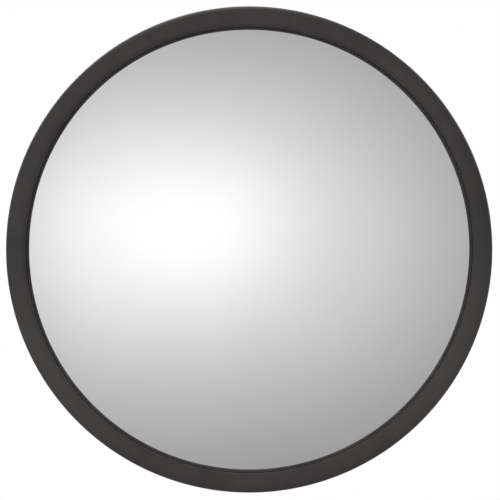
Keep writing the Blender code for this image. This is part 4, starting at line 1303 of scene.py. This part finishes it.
def build_wall_screws(settings):
    wall = settings.wall
    names = numbered("wall_screw")
    first = middle_of(names[0])
    back, front = reach_of(names[0])
    head = radius_of(names[0])
    seat = front - wall.screw_head
    line = Line((first.x, 0.0, first.z))
    point_start = back + 6 * MM
    shank = 3 * MM
    sweep = math.radians(75.0)
    crown = 0.72
    outline = [Vector((0.0, front))]
    for k in range(1, 11):
        angle = sweep * k / 10
        across = head * math.sin(angle) / math.sin(sweep) * 0.99
        outline.append(Vector((across, seat + wall.screw_head * (1.0 - crown + crown * math.cos(angle)))))
    outline[-1] = Vector((head * 0.985, seat + wall.screw_head * 0.47))
    outline += softened(
        [(head, seat + wall.screw_head * 0.4, 0.0), (head, seat + 0.5 * MM, 0.0),
         (head - 0.25 * MM, seat, 0.2 * MM), (wall.screw, seat, 0.3 * MM), (wall.screw, seat - MM, 0.0)],
        closed=False,
    )
    outline += thread_rows(wall.screw, seat - shank, point_start, wall.screw_pitch / 10)
    for height in stepped(point_start, back, wall.screw_pitch / 10)[1:-1]:
        outline.append(Vector((wall.screw * (height - back) / (point_start - back), height)))
    outline.append(Vector((0.0, back)))
    screw = lathe("pan_head_screw_1", outline, line, SMALL_STEPS)
    press_thread(screw, line, point_start, seat - shank, wall.screw, wall.screw_pitch, 0.8 * MM, fade=0.3)
    for turn in (0.0, math.pi / 2):
        blade = line.turned(turn)
        half_mouth, half_tip, mouth, tip = 2.6 * MM, 1.0 * MM, front + MM, front - 1.7 * MM
        recess = [(-half_mouth, mouth), (-half_tip, tip), (half_tip, tip), (half_mouth, mouth)]
        side = blade.along.cross(blade.across)
        place = Line(blade.origin - side * 0.5 * MM, blade.along, blade.across)
        cut(screw, slab("driver_blade", [Vector(point) for point in recess], place, side, 1.0 * MM))
    for obj, name in zip(one_at_each(screw, "pan_head_screw", names), names):
        finish_piece(obj, settings, "wall_bracket", "zinc", name, crease=35.0)


def build_wall_plugs(settings):
    wall = settings.wall
    names = numbered("wall_plug")
    first = middle_of(names[0])
    back, mouth = reach_of(names[0])
    radius = radius_of(names[0])
    bore = radius - wall.plug_wall
    line = Line((first.x, 0.0, first.z))
    outline = [Vector((bore, back)), Vector((radius - MM, back))]
    ribs = 9
    rib = (mouth - 4 * MM - back - 1.5 * MM) / ribs
    for k in range(ribs):
        start = back + 1.5 * MM + k * rib
        outline += [Vector((radius - 0.75 * MM, start)), Vector((radius, start + rib * 0.75)),
                    Vector((radius, start + rib * 0.9)), Vector((radius - 0.75 * MM, start + rib * 0.98))]
    outline += [Vector((radius - 0.5 * MM, mouth - 3.8 * MM)), Vector((radius - 0.5 * MM, mouth - 1.2 * MM))]
    outline += [Vector((radius, mouth - 1.0 * MM)), Vector((radius, mouth)), Vector((bore, mouth))]
    plug = lathe("ribbed_plug_1", outline, line, SMALL_STEPS, closed=True)
    slit = Line((first.x - 0.4 * MM, 0.0, first.z), FORWARD, UP)
    reach = radius + MM
    corners = [(-reach, back - MM), (reach, back - MM), (reach, mouth - 8 * MM), (-reach, mouth - 8 * MM)]
    cut(plug, slab("slit_saw", [Vector(point) for point in corners], slit, RIGHT, 0.8 * MM))
    for obj, name in zip(one_at_each(plug, "ribbed_plug", names), names):
        finish_piece(obj, settings, "wall_bracket", "plug", name, crease=30.0)


# Stage

LIGHT_LOBES = (
    # strength, degrees round to the right, degrees up, tightness
    (0.261, -13.0, 6.3, 9.87),
    (0.585, -42.7, 4.9, 1.79),
    (0.182, -49.4, 7.1, 9.83),
    (0.469, 26.9, 5.0, 1.85),
    (0.900, 180.0, 0.0, 1.80),
)
AMBIENT = 0.050


def build_world():
    """Soft panels of light in front of the mirror, on a white room for the camera."""
    world = bpy.data.worlds.new("studio")
    bpy.context.scene.world = world
    world.use_nodes = True
    nodes, links = world.node_tree.nodes, world.node_tree.links
    nodes.clear()
    direction = nodes.new("ShaderNodeTexCoord").outputs["Generated"]

    def calculate(operation, first, second):
        node = nodes.new("ShaderNodeMath")
        node.operation = operation
        for socket, value in zip(node.inputs, (first, second)):
            if isinstance(value, bpy.types.NodeSocket):
                links.new(value, socket)
            else:
                socket.default_value = value
        return node.outputs[0]

    total = AMBIENT
    for strength, right, up, tightness in LIGHT_LOBES:
        right, up = math.radians(right), math.radians(up)
        aim = (math.sin(right) * math.cos(up), -math.cos(right) * math.cos(up), math.sin(up))
        facing = nodes.new("ShaderNodeVectorMath")
        facing.operation = "DOT_PRODUCT"
        links.new(direction, facing.inputs[0])
        facing.inputs[1].default_value = aim
        away = calculate("MULTIPLY", calculate("SUBTRACT", facing.outputs["Value"], 1.0), tightness)
        total = calculate("ADD", calculate("MULTIPLY", calculate("EXPONENT", away, 0.0), strength), total)
    room = nodes.new("ShaderNodeBackground")
    room.inputs["Color"].default_value = (1.0, 1.0, 1.0, 1.0)
    links.new(total, room.inputs["Strength"])
    white = nodes.new("ShaderNodeBackground")
    white.inputs["Color"].default_value = (1.0, 1.0, 1.0, 1.0)
    seen = nodes.new("ShaderNodeLightPath").outputs["Is Camera Ray"]
    choice = nodes.new("ShaderNodeMixShader")
    links.new(seen, choice.inputs[0])
    links.new(room.outputs[0], choice.inputs[1])
    links.new(white.outputs[0], choice.inputs[2])
    links.new(choice.outputs[0], nodes.new("ShaderNodeOutputWorld").inputs["Surface"])


def build_floor(settings):
    let_go()
    middle = (0.0, -0.15, -settings.floor_drop)
    bpy.ops.mesh.primitive_circle_add(
        vertices=96, radius=settings.floor_radius, fill_type="NGON", location=middle
    )
    obj = bpy.context.object
    obj.name = "floor"
    open_mesh(obj)
    bpy.ops.mesh.extrude_region_move(TRANSFORM_OT_translate={"value": (0.0, 0.0, -10 * MM)})
    tidy_shell()
    close_mesh()
    bpy.ops.object.transform_apply(location=True, rotation=True, scale=True)
    finish = Finish("pale floor", settings.floor, 0.7)
    cloud = finish.ranged(finish.noise(0.35, 4.0), 0.3, 0.7)
    finish.feed("Base Color", finish.blend(cloud, finish.shade(0.97), finish.shade(1.02)))
    finish.feed("Roughness", finish.ranged(finish.noise(0.05, 4.0), 0.3, 0.7, 0.6, 0.75))
    finish.feed("Normal", finish.relief(finish.noise(4 * MM, 3.0), 0.05 * MM))
    obj.data.materials.append(finish.material)
    obj.visible_glossy = False


def add_panel_light(name, place, aim, size, power):
    bpy.ops.object.light_add(type="AREA", location=place)
    light = bpy.context.object
    light.name = name
    light.data.shape = "RECTANGLE"
    light.data.size, light.data.size_y = size
    light.data.energy = power
    light.rotation_euler = (Vector(aim) - Vector(place)).to_track_quat("-Z", "Y").to_euler()
    light.visible_camera = False
    return light


def build_lights():
    let_go()
    head = (0.0, -DOME_APEX, 0.0)
    add_panel_light("back_left_panel", (-1.6, 1.3, 1.5), head, (1.2, 1.2), 28.0)
    add_panel_light("back_right_panel", (1.8, 1.0, 0.7), head, (0.9, 1.4), 14.0)
    add_panel_light("overhead_panel", (-0.3, 0.3, 2.2), head, (1.4, 1.2), 20.0)


def build_camera(settings):
    let_go()
    half_width = settings.view_width / 2
    sensor = 36.0
    distance = half_width * settings.lens / (sensor / 2)
    bpy.ops.object.camera_add(
        location=(settings.aim_right, -(TRIM_FRONT + distance), -settings.aim_down),
        rotation=(math.radians(90.0), 0.0, 0.0),
    )
    camera = bpy.context.object
    camera.name = "front_camera"
    camera.data.lens = settings.lens
    camera.data.sensor_width = sensor
    camera.data.clip_start = 0.05
    camera.data.clip_end = 50.0
    camera.data.dof.use_dof = False
    bpy.context.scene.camera = camera
    bpy.context.scene.view_settings.view_transform = "Standard"


def build_stage(settings):
    build_world()
    build_floor(settings.stage)
    build_lights()
    build_camera(settings.stage)


# Operators

class MIRROR_OT_face(bpy.types.Operator):
    """Blow the silvered dome with its flat margin"""
    bl_idname = "security_mirror.face"
    bl_label = "Silvered Face"
    bl_options = {"REGISTER", "UNDO"}

    def execute(self, context):
        build_face(context.scene.security_mirror)
        return {"FINISHED"}


class MIRROR_OT_trim(bpy.types.Operator):
    """Wrap the soft channel round the lens and the board, with its butt joint near the top"""
    bl_idname = "security_mirror.trim"
    bl_label = "Edge Trim"
    bl_options = {"REGISTER", "UNDO"}

    def execute(self, context):
        build_trim(context.scene.security_mirror)
        return {"FINISHED"}


class MIRROR_OT_board(bpy.types.Operator):
    """Finish the hardboard disc behind the lens"""
    bl_idname = "security_mirror.board"
    bl_label = "Backing Board"
    bl_options = {"REGISTER", "UNDO"}

    def execute(self, context):
        build_board(context.scene.security_mirror)
        return {"FINISHED"}


class MIRROR_OT_hub(bpy.types.Operator):
    """Press the hat-shaped hub that carries the ball stud"""
    bl_idname = "security_mirror.hub"
    bl_label = "Hub Pressing"
    bl_options = {"REGISTER", "UNDO"}

    def execute(self, context):
        build_hub(context.scene.security_mirror)
        return {"FINISHED"}


class MIRROR_OT_hub_bolts(bpy.types.Operator):
    """Turn the four button-head bolts of the hub"""
    bl_idname = "security_mirror.hub_bolts"
    bl_label = "Hub Bolts"
    bl_options = {"REGISTER", "UNDO"}

    def execute(self, context):
        build_hub_bolts(context.scene.security_mirror)
        return {"FINISHED"}


class MIRROR_OT_hidden_fasteners(bpy.types.Operator):
    """Finish the nuts, washer and plate that are shut in between the hub and the lens"""
    bl_idname = "security_mirror.hidden_fasteners"
    bl_label = "Hidden Fasteners"
    bl_options = {"REGISTER", "UNDO"}

    def execute(self, context):
        build_hidden_fasteners(context.scene.security_mirror)
        return {"FINISHED"}


class MIRROR_OT_ball_stud(bpy.types.Operator):
    """Turn the ball stud with its neck and hexagon"""
    bl_idname = "security_mirror.ball_stud"
    bl_label = "Ball Stud"
    bl_options = {"REGISTER", "UNDO"}

    def execute(self, context):
        build_ball_stud(context.scene.security_mirror)
        return {"FINISHED"}


class MIRROR_OT_ball_liner(bpy.types.Operator):
    """Mould the split nylon ring that the ball runs in"""
    bl_idname = "security_mirror.ball_liner"
    bl_label = "Ball Liner"
    bl_options = {"REGISTER", "UNDO"}

    def execute(self, context):
        build_ball_liner(context.scene.security_mirror)
        return {"FINISHED"}


class MIRROR_OT_collar(bpy.types.Operator):
    """Turn the lock collar and mill its grip flutes"""
    bl_idname = "security_mirror.collar"
    bl_label = "Lock Collar"
    bl_options = {"REGISTER", "UNDO"}

    def execute(self, context):
        build_collar(context.scene.security_mirror)
        return {"FINISHED"}


class MIRROR_OT_socket_cup(bpy.types.Operator):
    """Turn the threaded cup that seats the ball"""
    bl_idname = "security_mirror.socket_cup"
    bl_label = "Socket Cup"
    bl_options = {"REGISTER", "UNDO"}

    def execute(self, context):
        build_socket_cup(context.scene.security_mirror)
        return {"FINISHED"}


class MIRROR_OT_arm_tube(bpy.types.Operator):
    """Cut and drill the arm's tube"""
    bl_idname = "security_mirror.arm_tube"
    bl_label = "Arm Tube"
    bl_options = {"REGISTER", "UNDO"}

    def execute(self, context):
        build_arm_tube(context.scene.security_mirror)
        return {"FINISHED"}


class MIRROR_OT_cross_pins(bpy.types.Operator):
    """Roll the two slit pins that hold the arm together"""
    bl_idname = "security_mirror.cross_pins"
    bl_label = "Cross Pins"
    bl_options = {"REGISTER", "UNDO"}

    def execute(self, context):
        build_cross_pins(context.scene.security_mirror)
        return {"FINISHED"}


class MIRROR_OT_arm_eye(bpy.types.Operator):
    """Forge the flat eye at the arm's wall end"""
    bl_idname = "security_mirror.arm_eye"
    bl_label = "Arm Eye"
    bl_options = {"REGISTER", "UNDO"}

    def execute(self, context):
        build_arm_eye(context.scene.security_mirror)
        return {"FINISHED"}


class MIRROR_OT_bracket(bpy.types.Operator):
    """Weld the two ears to the hinge's foot"""
    bl_idname = "security_mirror.bracket"
    bl_label = "Hinge Bracket"
    bl_options = {"REGISTER", "UNDO"}

    def execute(self, context):
        build_bracket(context.scene.security_mirror)
        return {"FINISHED"}


class MIRROR_OT_friction_washers(bpy.types.Operator):
    """Punch the two nylon washers of the hinge"""
    bl_idname = "security_mirror.friction_washers"
    bl_label = "Friction Washers"
    bl_options = {"REGISTER", "UNDO"}

    def execute(self, context):
        build_friction_washers(context.scene.security_mirror)
        return {"FINISHED"}


class MIRROR_OT_pivot_bolt(bpy.types.Operator):
    """Forge the hinge bolt and roll its thread"""
    bl_idname = "security_mirror.pivot_bolt"
    bl_label = "Hinge Bolt"
    bl_options = {"REGISTER", "UNDO"}

    def execute(self, context):
        build_pivot_bolt(context.scene.security_mirror)
        return {"FINISHED"}


class MIRROR_OT_pivot_washer(bpy.types.Operator):
    """Punch the washer under the wing nut"""
    bl_idname = "security_mirror.pivot_washer"
    bl_label = "Hinge Washer"
    bl_options = {"REGISTER", "UNDO"}

    def execute(self, context):
        build_pivot_washer(context.scene.security_mirror)
        return {"FINISHED"}


class MIRROR_OT_wing_nut(bpy.types.Operator):
    """Forge the wing nut of the hinge"""
    bl_idname = "security_mirror.wing_nut"
    bl_label = "Wing Nut"
    bl_options = {"REGISTER", "UNDO"}

    def execute(self, context):
        build_wing_nut(context.scene.security_mirror)
        return {"FINISHED"}


class MIRROR_OT_wall_plate(bpy.types.Operator):
    """Cut and drill the plate that stands against the wall"""
    bl_idname = "security_mirror.wall_plate"
    bl_label = "Wall Plate"
    bl_options = {"REGISTER", "UNDO"}

    def execute(self, context):
        build_wall_plate(context.scene.security_mirror)
        return {"FINISHED"}


class MIRROR_OT_wall_screws(bpy.types.Operator):
    """Turn the four pan-head screws with their cross recesses"""
    bl_idname = "security_mirror.wall_screws"
    bl_label = "Wall Screws"
    bl_options = {"REGISTER", "UNDO"}

    def execute(self, context):
        build_wall_screws(context.scene.security_mirror)
        return {"FINISHED"}


class MIRROR_OT_wall_plugs(bpy.types.Operator):
    """Mould the four ribbed wall plugs"""
    bl_idname = "security_mirror.wall_plugs"
    bl_label = "Wall Plugs"
    bl_options = {"REGISTER", "UNDO"}

    def execute(self, context):
        build_wall_plugs(context.scene.security_mirror)
        return {"FINISHED"}


class MIRROR_OT_stage(bpy.types.Operator):
    """Set the pale floor, the soft light and the front camera"""
    bl_idname = "security_mirror.stage"
    bl_label = "Stage"
    bl_options = {"REGISTER", "UNDO"}

    def execute(self, context):
        build_stage(context.scene.security_mirror)
        return {"FINISHED"}


SETTINGS = (
    FaceSettings,
    TrimSettings,
    HubSettings,
    JointSettings,
    ArmSettings,
    HingeSettings,
    WallSettings,
    StageSettings,
    SecurityMirrorSettings,
)
OPERATORS = (
    MIRROR_OT_face,
    MIRROR_OT_trim,
    MIRROR_OT_board,
    MIRROR_OT_hub,
    MIRROR_OT_hub_bolts,
    MIRROR_OT_hidden_fasteners,
    MIRROR_OT_ball_stud,
    MIRROR_OT_ball_liner,
    MIRROR_OT_collar,
    MIRROR_OT_socket_cup,
    MIRROR_OT_arm_tube,
    MIRROR_OT_cross_pins,
    MIRROR_OT_arm_eye,
    MIRROR_OT_bracket,
    MIRROR_OT_friction_washers,
    MIRROR_OT_pivot_bolt,
    MIRROR_OT_pivot_washer,
    MIRROR_OT_wing_nut,
    MIRROR_OT_wall_plate,
    MIRROR_OT_wall_screws,
    MIRROR_OT_wall_plugs,
    MIRROR_OT_stage,
)


class VIEW3D_PT_security_mirror(bpy.types.Panel):
    """Sizes, colours and building steps of the mirror"""
    bl_idname = "VIEW3D_PT_security_mirror"
    bl_label = "Security Mirror"
    bl_space_type = "VIEW_3D"
    bl_region_type = "UI"
    bl_category = "Security Mirror"

    def draw(self, context):
        settings = context.scene.security_mirror
        for group_name in ("face", "trim", "hub", "joint", "arm", "hinge", "wall", "stage"):
            group = getattr(settings, group_name)
            box = self.layout.box()
            box.label(text=type(settings).bl_rna.properties[group_name].name)
            for key in group.__annotations__:
                box.prop(group, key)
        for operator in OPERATORS:
            self.layout.operator(operator.bl_idname)


CLASSES = (*SETTINGS, *OPERATORS, VIEW3D_PT_security_mirror)


def register():
    for cls in CLASSES:
        bpy.utils.register_class(cls)
    bpy.types.Scene.security_mirror = bpy.props.PointerProperty(type=SecurityMirrorSettings)


def unregister():
    del bpy.types.Scene.security_mirror
    for cls in reversed(CLASSES):
        bpy.utils.unregister_class(cls)


def main():
    register()
    for operator in OPERATORS:
        group, name = operator.bl_idname.split(".")
        getattr(getattr(bpy.ops, group), name)()
    let_go()


if __name__ == "__main__":
    main()
